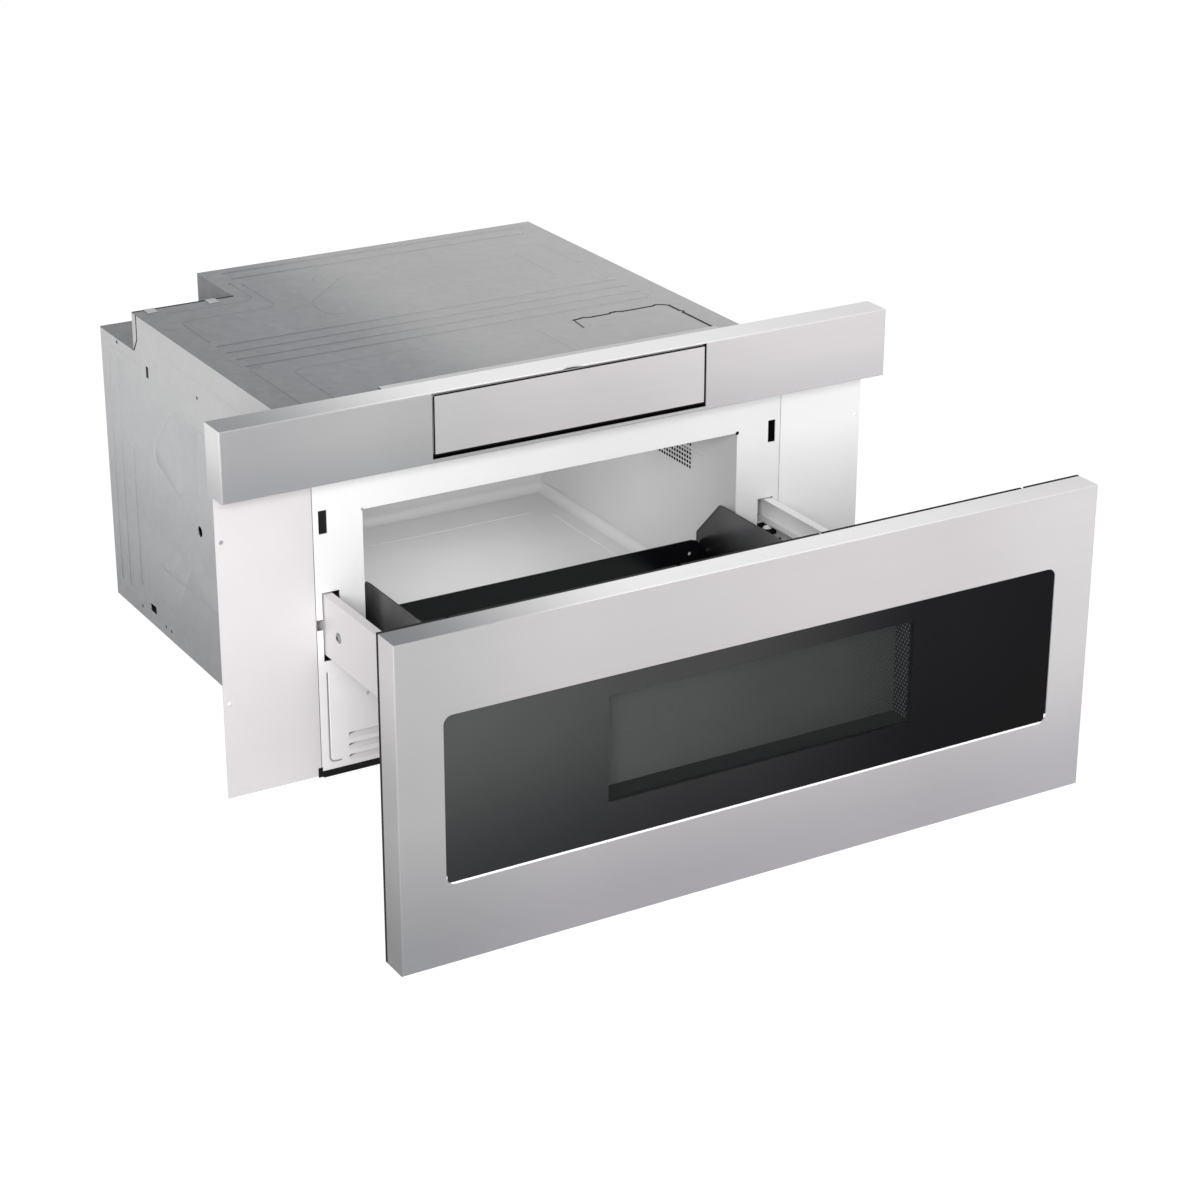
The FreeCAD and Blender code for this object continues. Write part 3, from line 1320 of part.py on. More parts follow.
def drive_pinion():
    """The pinion on its shaft, in mesh with the rack."""
    face = Part.Face(pinion_outline(tooth_module.number))
    wheel = face.extrude(FreeCAD.Vector(0, 0, rack_height.number))
    shaft = Part.makeCylinder(drive_shaft_radius.number, rack_low.number - gearbox_low.number
                              - 2 * bay_step.number, FreeCAD.Vector(0, 0, gearbox_low.number
                              + 2 * bay_step.number - rack_low.number))
    item = doc.addObject("Part::Feature", "pinion")
    item.Shape = wheel.fuse(shaft).removeSplitter()
    item.Placement = FreeCAD.Placement(FreeCAD.Vector(pinion_x.number, pinion_place.number,
                                                      rack_low.number),
                                       FreeCAD.Rotation())
    return node("drive_pinion", item)


def drive_motor():
    """The gear motor that drives the pinion, standing on the base."""
    half = motor_width / 2
    gearbox = block("gearbox", (pinion_x - half, pinion_x + half),
                    (pinion_place - motor_depth / 2, pinion_place + motor_depth / 2),
                    (gearbox_low, motor_top))
    can = rod("motor_can", "z", (pinion_x, pinion_place), (panel_sheet + rib_rise + seat_gap, gearbox_low),
              motor_can_radius)
    foot = block("motor_foot", (pinion_x - half, pinion_x), (pinion_place - motor_depth / 2,
                 pinion_place - motor_depth / 2 + fan_wall), (panel_sheet, gearbox_low))
    back_foot = block("motor_back_foot", (pinion_x - half, pinion_x),
                      (pinion_place + motor_depth / 2 - fan_wall,
                      pinion_place + motor_depth / 2), (panel_sheet, gearbox_low))
    socket = rod("shaft_socket", "z", (pinion_x, pinion_place), (gearbox_low + 2 * bay_step - seat_gap,
                 motor_top + 1), drive_shaft_radius + running_gap)
    solid = joined("motor_solid", [gearbox, can, foot, back_foot])
    return node("drive_motor", less("motor", solid, [socket]))


# ------------------------------------------------------------------ latches and interlocks

def latch_hook(label, side):
    """A sprung latch head: a tongue with a nose, on two stub pins."""
    near = side * latch_x - latch_thickness / 2
    far = side * latch_x + latch_thickness / 2
    half = latch_height / 2
    back = latch_y - half
    outline = [(back, latch_z - half), (latch_tip - half, latch_z - half), (latch_tip, latch_z - half / 2),
               (latch_tip, latch_z + half / 2), (latch_tip - half, latch_z + half), (back, latch_z + half)]
    body = plate(f"{label}_tongue", "YZ_Plane", (near, far), [chain(outline)])
    pins = rod(f"{label}_pins", "x", (latch_y, latch_z),
               (near - latch_thickness / 2, far + latch_thickness / 2),
               latch_pin_radius)
    return node(label, joined(f"{label}_head", [body, pins]))


def latch_brackets():
    """The two brackets in the door that the latch heads pivot in."""
    brackets = []
    panel_face = door_rear - door_panel_sheet
    half = latch_height / 2 + latch_slot_gap + fan_wall
    for side in (-1, 1):
        near = side * latch_x - latch_thickness / 2 - seat_gap
        far = side * latch_x + latch_thickness / 2 + seat_gap
        ears = [block("latch_ear", pair, (latch_y - latch_height, panel_face),
                      (latch_z - half, latch_z + half))
                for pair in ((near - fan_wall, near), (far, far + fan_wall))]
        bridge = block("latch_bridge", (near - fan_wall, far + fan_wall),
                       (latch_y - latch_height - fan_wall, latch_y - latch_height),
                       (latch_z - half, latch_z + half))
        bore = rod("latch_bore", "x", (latch_y, latch_z), (near - 2 * fan_wall, far + 2 * fan_wall),
                   latch_pin_radius + running_gap)
        brackets.append(less("latch_bracket", joined("latch_bracket_solid", ears + [bridge]), [bore]))
    return node("latch_brackets", group("latch_bracket_set", brackets))


def interlock(label, side):
    """An interlock switch behind its latch hole, on a bracket from the back of the frame."""
    middle = side * latch_x
    half = switch_width / 2
    low = latch_z - switch_height / 2
    body = block(f"{label}_switch", (middle - half, middle + half),
                 (switch_face, switch_face + switch_depth),
                 (low, low + switch_height))
    arm = block(f"{label}_arm", (middle - half, middle + half), (face_sheet, switch_face + switch_depth),
                (latch_hole_high + fan_wall, latch_hole_high + 2 * fan_wall))
    web = block(f"{label}_web", (middle - half, middle + half), (switch_face + switch_depth / 2,
                switch_face + switch_depth), (low + switch_height, latch_hole_high + 2 * fan_wall))
    bore = rod(f"{label}_bore", "y", (middle, latch_z), (switch_face - 1, switch_face + switch_depth / 2),
               plunger_radius + running_gap)
    return node(label, less(f"{label}_unit", joined(f"{label}_solid", [body, arm, web]), [bore]))


def switch_plunger(label, side):
    """The plunger of an interlock switch, just clear of the closed latch."""
    reach = switch_face + switch_depth / 2 - plunger_stroke - seat_gap
    tip = switch_face - plunger_stroke - seat_gap
    return node(label, rod(label, "y", (side * latch_x, latch_z), (tip, reach), plunger_radius))


# ------------------------------------------------------------------ door

def latch_slots(low_y, high_y):
    """The slots that the latch heads reach through in the door's inner panel and cover."""
    half = latch_height / 2 + latch_slot_gap
    lift = latch_height / 2
    return [block("latch_slot", (side * latch_x - latch_thickness / 2 - latch_slot_gap / 2,
                                 side * latch_x + latch_thickness / 2 + latch_slot_gap / 2),
                  (low_y, high_y), (latch_z - half, latch_z + half + lift)) for side in (-1, 1)]


def door_skin():
    """The stainless front of the drawer, folded back on all four sides, with the window opening."""
    body = doc.addObject("PartDesign::Body", "door_skin")
    pad(body, "door_block", "XZ_Plane", (door_front, door_rear),
        [frame(-door_half, door_half, door_low, door_high)])
    front = door_front.number
    soften(body, "door_edges", door_round,
           lambda edge: (runs_along(edge, "x") or runs_along(edge, "z")) and edge.BoundBox.YMax < front + 1)
    pocket(body, "door_hollow", "XZ_Plane", (door_front + door_sheet, door_rear),
           [frame(door_sheet - door_half, door_half - door_sheet, door_low + door_sheet,
                  door_high - door_sheet)])
    pocket(body, "window_opening", "XZ_Plane", (door_front, door_front + door_sheet),
           [frame(-window_width / 2, window_width / 2, window_low, window_high, window_round)])
    return node("door_skin", body)


def door_glass():
    """The dark glass behind the window opening."""
    body = plate("door_glass", "XZ_Plane", (door_front + door_sheet, glass_rear),
                 [frame(-window_width / 2 - glass_lap, window_width / 2 + glass_lap, window_low - glass_lap,
                        window_high + glass_lap, window_round)])
    return node("door_glass", body)


def door_inner_panel():
    """The inner panel of the door, with the duct that frames the perforated screen."""
    half = door_half - door_sheet
    panel_face = door_rear - door_panel_sheet
    screen_half = screen_width / 2
    sheet_body = plate("inner_sheet", "XZ_Plane", (panel_face, door_rear),
                       [frame(-half, half, door_low + door_sheet, door_high - door_sheet),
                        frame(-screen_half, screen_half, screen_low, screen_high)])
    pad(sheet_body, "screen_duct", "XZ_Plane", (glass_rear, panel_face),
        [frame(-screen_half - door_panel_sheet, screen_half + door_panel_sheet,
               screen_low - door_panel_sheet,
               screen_high + door_panel_sheet), frame(-screen_half, screen_half, screen_low, screen_high)])
    return node("door_inner_panel", less("inner_panel", sheet_body, latch_slots(panel_face, door_rear)))


def door_screen():
    """The perforated metal screen at the back end of the duct; its fine holes are left out here."""
    half = screen_width / 2
    return node("door_screen", block("screen", (-half, half), (door_rear - screen_sheet, door_rear),
                                     (screen_low, screen_high)))


def door_back_cover():
    """The black cover on the back of the door, open at the screen and slotted for the latches."""
    lap = tray_flange
    half = screen_width / 2
    body = plate("back_cover_sheet", "XZ_Plane", (door_rear, door_cover_rear),
                 [frame(-door_half, door_half, door_low, door_high),
                  frame(-half + lap, half - lap, screen_low + lap, screen_high - lap)])
    notches = [frame(side * place - cover_notch_width / 2, side * place + cover_notch_width / 2,
                     door_high - cover_notch_depth, door_high + cover_notch_depth)
               for side in (-1, 1) for place in (cover_notch_inner, cover_notch_outer)]
    pocket(body, "cover_notches", "XZ_Plane", (door_rear, door_cover_rear), notches)
    return node("door_back_cover", less("back_cover", body, latch_slots(door_rear, door_cover_rear)))


# ------------------------------------------------------------------ tray

def tray_side(label, side):
    """A black side of the tray with its rear ear, a foot that carries the glass and a door flange."""
    outside = side * tray_half
    inside = side * (tray_half - tray_sheet)
    ear_front = ear_back - ear_run
    outline = [(door_cover_rear, tray_low), (ear_back, tray_low), (ear_back, ear_low),
               (ear_front, tray_high), (door_cover_rear, tray_high)]
    body = plate(label, "YZ_Plane", (inside, outside), [chain(outline)])
    soften(body, f"{label}_ear", ear_round,
           lambda edge: runs_along(edge, "x") and edge.BoundBox.YMax > 0
           and edge.BoundBox.ZMin > ear_low.number - 1)
    foot_in = side * (tray_half - tray_flange)
    pad(body, f"{label}_foot", "XY_Plane", (tray_low, tray_low + tray_sheet),
        [frame(foot_in, outside, door_cover_rear, ear_back - strip_inset)])
    pad(body, f"{label}_flange", "XZ_Plane", (door_cover_rear, door_cover_rear + tray_sheet),
        [frame(foot_in, outside, tray_low, tray_high - strip_round)])
    return node(label, body)


def tray_rear_strip():
    """The black strip across the back of the tray."""
    half = tray_half - tray_sheet
    back = ear_back - strip_inset
    body = plate("tray_rear_strip", "XZ_Plane", (back, back + tray_sheet),
                 [frame(-half, half, tray_low, strip_high)])
    soften(body, "strip_corners", strip_round,
           lambda edge: runs_along(edge, "y") and edge.BoundBox.ZMin > tray_low.number + 1)
    holes = [circle(side * (half - bay_step), strip_high - bay_step - strip_inset / 2, screw_radius)
             for side in (-1, 1)]
    pocket(body, "strip_holes", "XZ_Plane", (back, back + tray_sheet), holes)
    return node("tray_rear_strip", body)


def glass_tray():
    """The glass that carries the food, lying on the feet of the tray sides."""
    half = tray_half - tray_sheet - tray_glass_gap
    low = tray_low + tray_sheet
    body = plate("glass_tray", "XY_Plane", (low, low + tray_glass),
                 [frame(-half, half, door_cover_rear + tray_sheet + tray_glass_gap,
                        ear_back - strip_inset - tray_glass_gap, strip_round / 2)])
    return node("glass_tray", body)


# ------------------------------------------------------------------ the whole object

def build():
    """Make every sub-part in order."""
    base_plate()
    both_sides("side_panel", side_panel)
    top_cover()
    notch_pan()
    cord_gland()
    back_panel()
    control_bay_cover()
    front_frame()
    both_sides("flange", flange)
    chassis_screws()
    air_guide()
    trim_shell()
    control_housing()
    panel_housing()
    panel_glass()
    panel_fascia()
    cavity_box()
    cavity_floor_plate()
    waveguide()
    magnetron()
    antenna_motor()
    rotating_antenna()
    fan_housing()
    fan_motor()
    fan_impeller()
    inverter_supply()
    cavity_lamp()
    control_board()
    both_sides("slide_fixed", fixed_slide)
    both_sides("slide_moving", moving_slide)
    both_sides("ball_cage", ball_cage)
    both_sides("slide_balls", slide_balls)
    both_sides("door_rail", door_rail)
    rail_screws()
    drive_rack()
    drive_pinion()
    drive_motor()
    both_sides("latch_hook", latch_hook)
    latch_brackets()
    both_sides("interlock", interlock)
    both_sides("switch_plunger", switch_plunger)
    door_skin()
    door_glass()
    door_inner_panel()
    door_screen()
    door_back_cover()
    both_sides("tray_side", tray_side)
    tray_rear_strip()
    glass_tray()
    doc.recompute()


def check_and_write():
    """Stop on any failed object or bad shape, then write each sub-part to its own file."""
    for item in doc.Objects:
        if "Invalid" in item.State or "Error" in item.State:
            raise RuntimeError(f"{item.Name} failed: {item.State}")
    for item in nodes:
        if item.Shape.isNull() or not item.Shape.isValid() or not item.Shape.Solids:
            raise RuntimeError(f"{item.Label} has no valid solid")
    os.makedirs("parts", exist_ok=True)
    for item in nodes:
        item.Shape.exportStep(f"parts/{item.Label}.step")
        print(f"{item.Label}: {len(item.Shape.Solids)} solid(s), {item.Shape.Volume / 1000:.1f} cm3")
    print(f"{len(nodes)} sub-parts")


build()
check_and_write()
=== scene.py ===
"""Dresses the microwave drawer: a finish for every solid, and the pressed and fine details on them.

Lengths are in metres in the frame of the solids unless a name or a comment says millimetres: X to the
right seen from the front, Y to the back, Z up, with the front of the white frame at Y 0.
"""

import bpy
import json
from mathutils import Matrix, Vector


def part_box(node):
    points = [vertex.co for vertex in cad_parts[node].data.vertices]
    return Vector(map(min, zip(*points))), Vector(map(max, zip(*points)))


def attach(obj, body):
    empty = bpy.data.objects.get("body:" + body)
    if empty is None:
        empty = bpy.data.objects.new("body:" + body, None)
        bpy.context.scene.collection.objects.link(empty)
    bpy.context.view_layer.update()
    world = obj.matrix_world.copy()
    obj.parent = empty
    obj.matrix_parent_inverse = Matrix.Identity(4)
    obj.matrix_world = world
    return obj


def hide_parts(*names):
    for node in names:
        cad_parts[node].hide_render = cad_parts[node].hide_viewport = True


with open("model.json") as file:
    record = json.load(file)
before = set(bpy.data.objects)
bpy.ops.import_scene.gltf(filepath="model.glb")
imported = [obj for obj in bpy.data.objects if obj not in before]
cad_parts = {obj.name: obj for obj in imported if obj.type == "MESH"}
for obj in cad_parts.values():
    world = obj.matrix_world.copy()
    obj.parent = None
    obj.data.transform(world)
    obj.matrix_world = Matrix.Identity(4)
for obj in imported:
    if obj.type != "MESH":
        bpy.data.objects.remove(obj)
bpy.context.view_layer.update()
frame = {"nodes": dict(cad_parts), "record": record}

import json
import logging
import math
from dataclasses import dataclass, field
from enum import Enum
from typing import Iterable, Sequence

import bmesh
import bpy
from mathutils import Matrix, Vector

logging.basicConfig(level=logging.INFO, format="%(name)s: %(message)s")
LOG = logging.getLogger("microwave_drawer")

MM = 0.001
Colour = tuple[float, float, float, float]
Point = tuple[float, float, float]
Flat = tuple[float, float]
Socket = bpy.types.NodeSocket


class Body(Enum):
    """The bodies that new pieces ride on."""

    CHASSIS = "chassis"
    DRAWER = "drawer"
    CONTROL_PANEL = "control_panel"


class Axis(Enum):
    """The three axes, by their place in a vector."""

    X = 0
    Y = 1
    Z = 2


class Look(Enum):
    """The finishes, each with the record's material slot that it belongs to."""

    COVER_ZINC = ("cover_zinc", "zinc_cover")
    SIDE_ZINC = ("side_zinc", "zinc_side")
    RECESS_ZINC = ("recess_zinc", "zinc_side")
    BASE_ZINC = ("base_zinc", "zinc_base")
    TAB_ZINC = ("tab_zinc", "zinc_side")
    DOOR_STEEL = ("door_steel", "stainless")
    TRIM_STEEL = ("trim_steel", "stainless")
    FLAP_STEEL = ("flap_steel", "stainless")
    EDGE_STEEL = ("edge_steel", "stainless")
    STRIP_PLASTIC = ("strip_plastic", "grey_plastic")
    FRAME_PAINT = ("frame_paint", "white_paint")
    FLANGE_PAINT = ("flange_paint", "white_paint")
    RAIL_PAINT = ("rail_paint", "white_paint")
    SHADE_PAINT = ("shade_paint", "white_paint")
    BLACK_PLASTIC = ("black_plastic", "black_plastic")
    GREY_PLASTIC = ("grey_plastic", "grey_plastic")
    WHITE_PLASTIC = ("white_plastic", "white_plastic")
    BALL_PLASTIC = ("ball_plastic", "ball_white")
    RED_PLASTIC = ("red_plastic", "plunger_red")
    CAVITY_ENAMEL = ("cavity_enamel", "cavity_paint")
    FLOOR_CERAMIC = ("floor_ceramic", "floor_ceramic")
    TRAY_ENAMEL = ("tray_enamel", "tray_paint")
    DOOR_BLACK = ("door_black", "black_paint")
    PANEL_GLASS = ("panel_glass", "touch_glass")
    DOOR_GLASS = ("door_glass", "door_glass")
    TRAY_GLASS = ("tray_glass", "tray_glass")
    SCREEN_MESH = ("screen_mesh", "screen_paint")
    SCREEN_RETURN = ("screen_return", "screen_paint")
    SCREW_STEEL = ("screw_steel", "screw_steel")
    SLIDE_STEEL = ("slide_steel", "slide_steel")
    MAGNETRON_METAL = ("magnetron_metal", "magnetron_metal")
    MOTOR_CAN = ("motor_can", "motor_can")
    ANTENNA_METAL = ("antenna_metal", "antenna_metal")
    BOARD = ("board", "board_green")

    @property
    def slot(self) -> str:
        """The record's material slot."""
        return self.value[1]


NODE_LOOKS = {
    "trim_shell": Look.TRIM_STEEL,
    "panel_fascia": Look.FLAP_STEEL,
    # Its finish carries painted shade in the flap gaps and painted light on its top.
    "control_housing": Look.STRIP_PLASTIC,
    "front_frame": Look.FRAME_PAINT,
    "door_rail_left": Look.RAIL_PAINT,
    "door_rail_right": Look.RAIL_PAINT,
    "notch_pan": Look.RECESS_ZINC,
}


def linear(code: str) -> Colour:
    """Turn a display colour into the linear values that shaders take.

    Args:
        code: a hash and six hexadecimal digits.

    Returns:
        Linear red, green and blue, and an alpha of 1.
    """
    parts = [int(code[i:i + 2], 16) / 255 for i in (1, 3, 5)]
    values = [part / 12.92 if part <= 0.04045 else ((part + 0.055) / 1.055) ** 2.4 for part in parts]
    return (values[0], values[1], values[2], 1.0)


# ---------------------------------------------------------------------------- finishes

class NodeSheet:
    """A material with its node tree, and the sockets that its patterns start from."""

    def __init__(self, name: str) -> None:
        """Start a material.

        Args:
            name: the material's name.
        """
        self.material = bpy.data.materials.new(name)
        self.material.use_nodes = True
        self.tree = self.material.node_tree
        self.shader = self.tree.nodes["Principled BSDF"]
        self.output = self.tree.nodes["Material Output"]
        self.place = self.add("ShaderNodeTexCoord", out="Object")
        self.facing = self.add("ShaderNodeTexCoord", out="Normal")
        self.along = {axis: self.add("ShaderNodeSeparateXYZ", links={0: self.place}, out=axis.value)
                      for axis in Axis}

    def add(self, kind: str, settings: dict[str, object] | None = None,
            links: dict[int | str, object] | None = None, out: int | str = 0) -> Socket:
        """Add a node with its settings and links.

        Args:
            kind: the node's type.
            settings: its properties.
            links: what goes into its inputs, a socket or a constant each.
            out: the output that is wanted.

        Returns:
            That output's socket.
        """
        node = self.tree.nodes.new(kind)
        for key, value in (settings or {}).items():
            setattr(node, key, value)
        for key, value in (links or {}).items():
            self.plug(node.inputs[key], value)
        return node.outputs[out]

    def plug(self, target: Socket, value: object) -> None:
        """Link a socket, or set its constant."""
        if isinstance(value, bpy.types.NodeSocket):
            self.tree.links.new(value, target)
        else:
            target.default_value = value

    def set(self, values: dict[str, object]) -> None:
        """Give the principled shader its inputs."""
        for key, value in values.items():
            self.plug(self.shader.inputs[key], value)

    def vary(self, pattern: Socket, low: float, high: float, start: float = 0.3, end: float = 0.7) -> Socket:
        """Turn a pattern from start to end into a value from low to high."""
        return self.add("ShaderNodeMapRange", links={0: pattern, 1: start, 2: end, 3: low, 4: high})

    def grain(self, sizes: Point, detail: float = 2.0) -> Socket:
        """Noise whose features have the given sizes along X, Y and Z, in millimetres."""
        scale = tuple(1 / (size * MM) for size in sizes)
        stretched = self.add("ShaderNodeMapping", links={0: self.place, 3: scale})
        return self.add("ShaderNodeTexNoise", links={0: stretched, 2: 1.0, 3: detail})

    def shade(self, colour: object, value: Socket) -> Socket:
        """Multiply a colour by a value."""
        grey = self.add("ShaderNodeCombineColor", links={0: value, 1: value, 2: value})
        return self.add("ShaderNodeMix", {"data_type": "RGBA", "blend_type": "MULTIPLY"},
                        {0: 1.0, 6: colour, 7: grey}, 2)

    def relief(self, height: Socket, strength: float, depth: float) -> None:
        """Give the principled shader a fine relief of a depth in millimetres."""
        bump = self.add("ShaderNodeBump", links={"Strength": strength, "Distance": depth * MM, "Height": height})
        self.plug(self.shader.inputs["Normal"], bump)


@dataclass(frozen=True)
class Shift:
    """A slow change of tone along an axis: places in millimetres with their colours."""

    axis: Axis
    stops: tuple[tuple[float, str], ...]

    def socket(self, sheet: NodeSheet) -> object:
        """Build the change of tone.

        Args:
            sheet: the material's nodes.

        Returns:
            The colour's socket, or the colour itself where there is only one.
        """
        tone: object = linear(self.stops[0][1])
        for (start, _), (end, code) in zip(self.stops, self.stops[1:]):
            share = sheet.add("ShaderNodeMapRange", {"interpolation_type": "SMOOTHSTEP"},
                              {0: sheet.along[self.axis], 1: start * MM, 2: end * MM, 3: 0.0, 4: 1.0})
            tone = sheet.add("ShaderNodeMix", {"data_type": "RGBA"}, {0: share, 6: tone, 7: linear(code)}, 2)
        return tone


def plain(code: str) -> tuple[Shift, ...]:
    """One tone all over."""
    return (Shift(Axis.X, ((0.0, code),)),)


@dataclass(frozen=True)
class Finish:
    """What every finish has.

    Attributes:
        look: which finish it is.
        tones: changes of tone that are multiplied together; where they vary across a part, they are painted light and
            shade.
        ends: the same for faces that look along X, where they differ: a lighter or darker copy, painted light and
            shade.
        tops: the same for faces that look up, where they differ: a lighter or darker copy, painted light and shade.
    """

    look: Look
    tones: tuple[Shift, ...]
    ends: tuple[Shift, ...] = ()
    tops: tuple[Shift, ...] = ()

    def product(self, sheet: NodeSheet, tones: tuple[Shift, ...]) -> object:
        """Multiply changes of tone."""
        result = tones[0].socket(sheet)
        for tone in tones[1:]:
            result = sheet.add("ShaderNodeMix", {"data_type": "RGBA", "blend_type": "MULTIPLY"},
                               {0: 1.0, 6: result, 7: tone.socket(sheet)}, 2)
        return result

    def tone(self, sheet: NodeSheet) -> object:
        """The finish's colour with its painted light and shade, by place and by the way that a face looks."""
        result = self.product(sheet, self.tones)
        for axis, tones in ((Axis.X, self.ends), (Axis.Z, self.tops)):
            if tones:
                part = sheet.add("ShaderNodeSeparateXYZ", links={0: sheet.facing}, out=axis.value)
                size = sheet.add("ShaderNodeMath", {"operation": "ABSOLUTE"}, {0: part})
                share = sheet.vary(size, 0.0, 1.0, 0.55, 0.85)
                result = sheet.add("ShaderNodeMix", {"data_type": "RGBA"},
                                   {0: share, 6: result, 7: self.product(sheet, tones)}, 2)
        return result

    def material(self) -> bpy.types.Material:
        """Build the material."""
        sheet = NodeSheet(self.look.value[0])
        self.surface(sheet)
        return sheet.material

    def surface(self, sheet: NodeSheet) -> None:
        """Give the sheet its surface."""
        raise NotImplementedError


@dataclass(frozen=True)
class BrushedSteel(Finish):
    """Stainless steel sheet, belt-brushed along X.

    The brushing gives the eye long fine streaks and a wide soft sheen. Real scratches are about 0.05 mm
    wide; they are drawn 0.5 mm wide, because finer ones don't show.
    """

    metallic: float = 0.25
    roughness: float = 0.40
    streak: float = 0.012

    def surface(self, sheet: NodeSheet) -> None:
        """Give the sheet its surface."""
        scratches = sheet.grain((160.0, 0.9, 0.5), 3.0)
        rolls = sheet.grain((420.0, 14.0, 9.0), 2.0)
        tone = sheet.shade(self.tone(sheet), sheet.vary(scratches, 1 - self.streak, 1 + self.streak))
        tone = sheet.shade(tone, sheet.vary(rolls, 1 - self.streak / 2, 1 + self.streak / 2))
        sheet.set({"Base Color": tone, "Metallic": self.metallic,
                   "Roughness": sheet.vary(scratches, self.roughness - 0.03, self.roughness + 0.05)})
        sheet.relief(scratches, 0.05, 0.03)


@dataclass(frozen=True)
class ZincSheet(Finish):
    """Hot-dip galvanised steel sheet with a small spangle.

    The zinc crystals give the eye irregular patches about 9 mm wide that differ faintly in tone and gloss.
    """

    metallic: float = 0.35
    roughness: float = 0.42
    spangle: float = 0.012
    crystal: float = 9.0

    def surface(self, sheet: NodeSheet) -> None:
        """Give the sheet its surface."""
        cells = sheet.add("ShaderNodeTexVoronoi", links={"Vector": sheet.place, "Scale": 1 / (self.crystal * MM)},
                          out="Color")
        tone_cell = sheet.add("ShaderNodeSeparateColor", links={0: cells}, out=0)
        gloss_cell = sheet.add("ShaderNodeSeparateColor", links={0: cells}, out=1)
        cloud = sheet.grain((110.0, 110.0, 110.0), 4.0)
        tone = sheet.shade(self.tone(sheet), sheet.vary(tone_cell, 1 - self.spangle, 1 + self.spangle, 0.0, 1.0))
        tone = sheet.shade(tone, sheet.vary(cloud, 0.985, 1.015))
        sheet.set({"Base Color": tone, "Metallic": self.metallic,
                   "Roughness": sheet.vary(gloss_cell, self.roughness - 0.04, self.roughness + 0.04, 0.0, 1.0)})
        sheet.relief(sheet.grain((1.4, 1.4, 1.4)), 0.03, 0.06)


@dataclass(frozen=True)
class PowderPaint(Finish):
    """Polyester powder paint on steel.

    It gives the eye a satin sheen with a fine orange peel about 2 mm wide.
    """

    roughness: float = 0.38
    peel: float = 2.0
    gloss: float = 0.5

    def surface(self, sheet: NodeSheet) -> None:
        """Give the sheet its surface."""
        peel = sheet.grain((self.peel, self.peel, self.peel))
        drift = sheet.grain((70.0, 70.0, 70.0), 3.0)
        sheet.set({"Base Color": sheet.shade(self.tone(sheet), sheet.vary(drift, 0.99, 1.01)),
                   "Roughness": sheet.vary(peel, self.roughness - 0.03, self.roughness + 0.05),
                   "Specular IOR Level": self.gloss})
        sheet.relief(peel, 0.05, 0.05)


@dataclass(frozen=True)
class Enamel(Finish):
    """Vitreous enamel or hard gloss paint, fired on sheet.

    It gives the eye a deep gloss that ripples slightly over about 12 mm.
    """

    roughness: float = 0.24
    ripple: float = 12.0

    def surface(self, sheet: NodeSheet) -> None:
        """Give the sheet its surface."""
        ripple = sheet.grain((self.ripple, self.ripple, self.ripple))
        cloud = sheet.grain((90.0, 90.0, 90.0), 3.0)
        sheet.set({"Base Color": sheet.shade(self.tone(sheet), sheet.vary(cloud, 0.975, 1.025)),
                   "Roughness": sheet.vary(cloud, self.roughness - 0.02, self.roughness + 0.06)})
        sheet.relief(ripple, 0.04, 0.1)


@dataclass(frozen=True)
class MouldedPlastic(Finish):
    """ABS or polypropylene from a spark-eroded mould.

    The mould's grain, about 0.9 mm, breaks up the sheen.
    """

    roughness: float = 0.5
    relief: float = 0.12
    gloss: float = 0.5

    def surface(self, sheet: NodeSheet) -> None:
        """Give the sheet its surface."""
        grain = sheet.grain((0.9, 0.9, 0.9), 3.0)
        sheet.set({"Base Color": sheet.shade(self.tone(sheet), sheet.vary(grain, 0.96, 1.04)),
                   "Roughness": sheet.vary(grain, self.roughness - 0.05, self.roughness + 0.08),
                   "Specular IOR Level": self.gloss})
        sheet.relief(grain, self.relief, 0.05)


@dataclass(frozen=True)
class DrawnMetal(Finish):
    """Bright plated or drawn steel and aluminium.

    Drawing leaves the eye faint lines along Y, about 2 mm apart.
    """

    metallic: float = 1.0
    roughness: float = 0.34

    def surface(self, sheet: NodeSheet) -> None:
        """Give the sheet its surface."""
        lines = sheet.grain((2.0, 120.0, 2.0), 3.0)
        sheet.set({"Base Color": sheet.shade(self.tone(sheet), sheet.vary(lines, 0.97, 1.03)),
                   "Metallic": self.metallic,
                   "Roughness": sheet.vary(lines, self.roughness - 0.04, self.roughness + 0.06)})
        sheet.relief(lines, 0.04, 0.03)


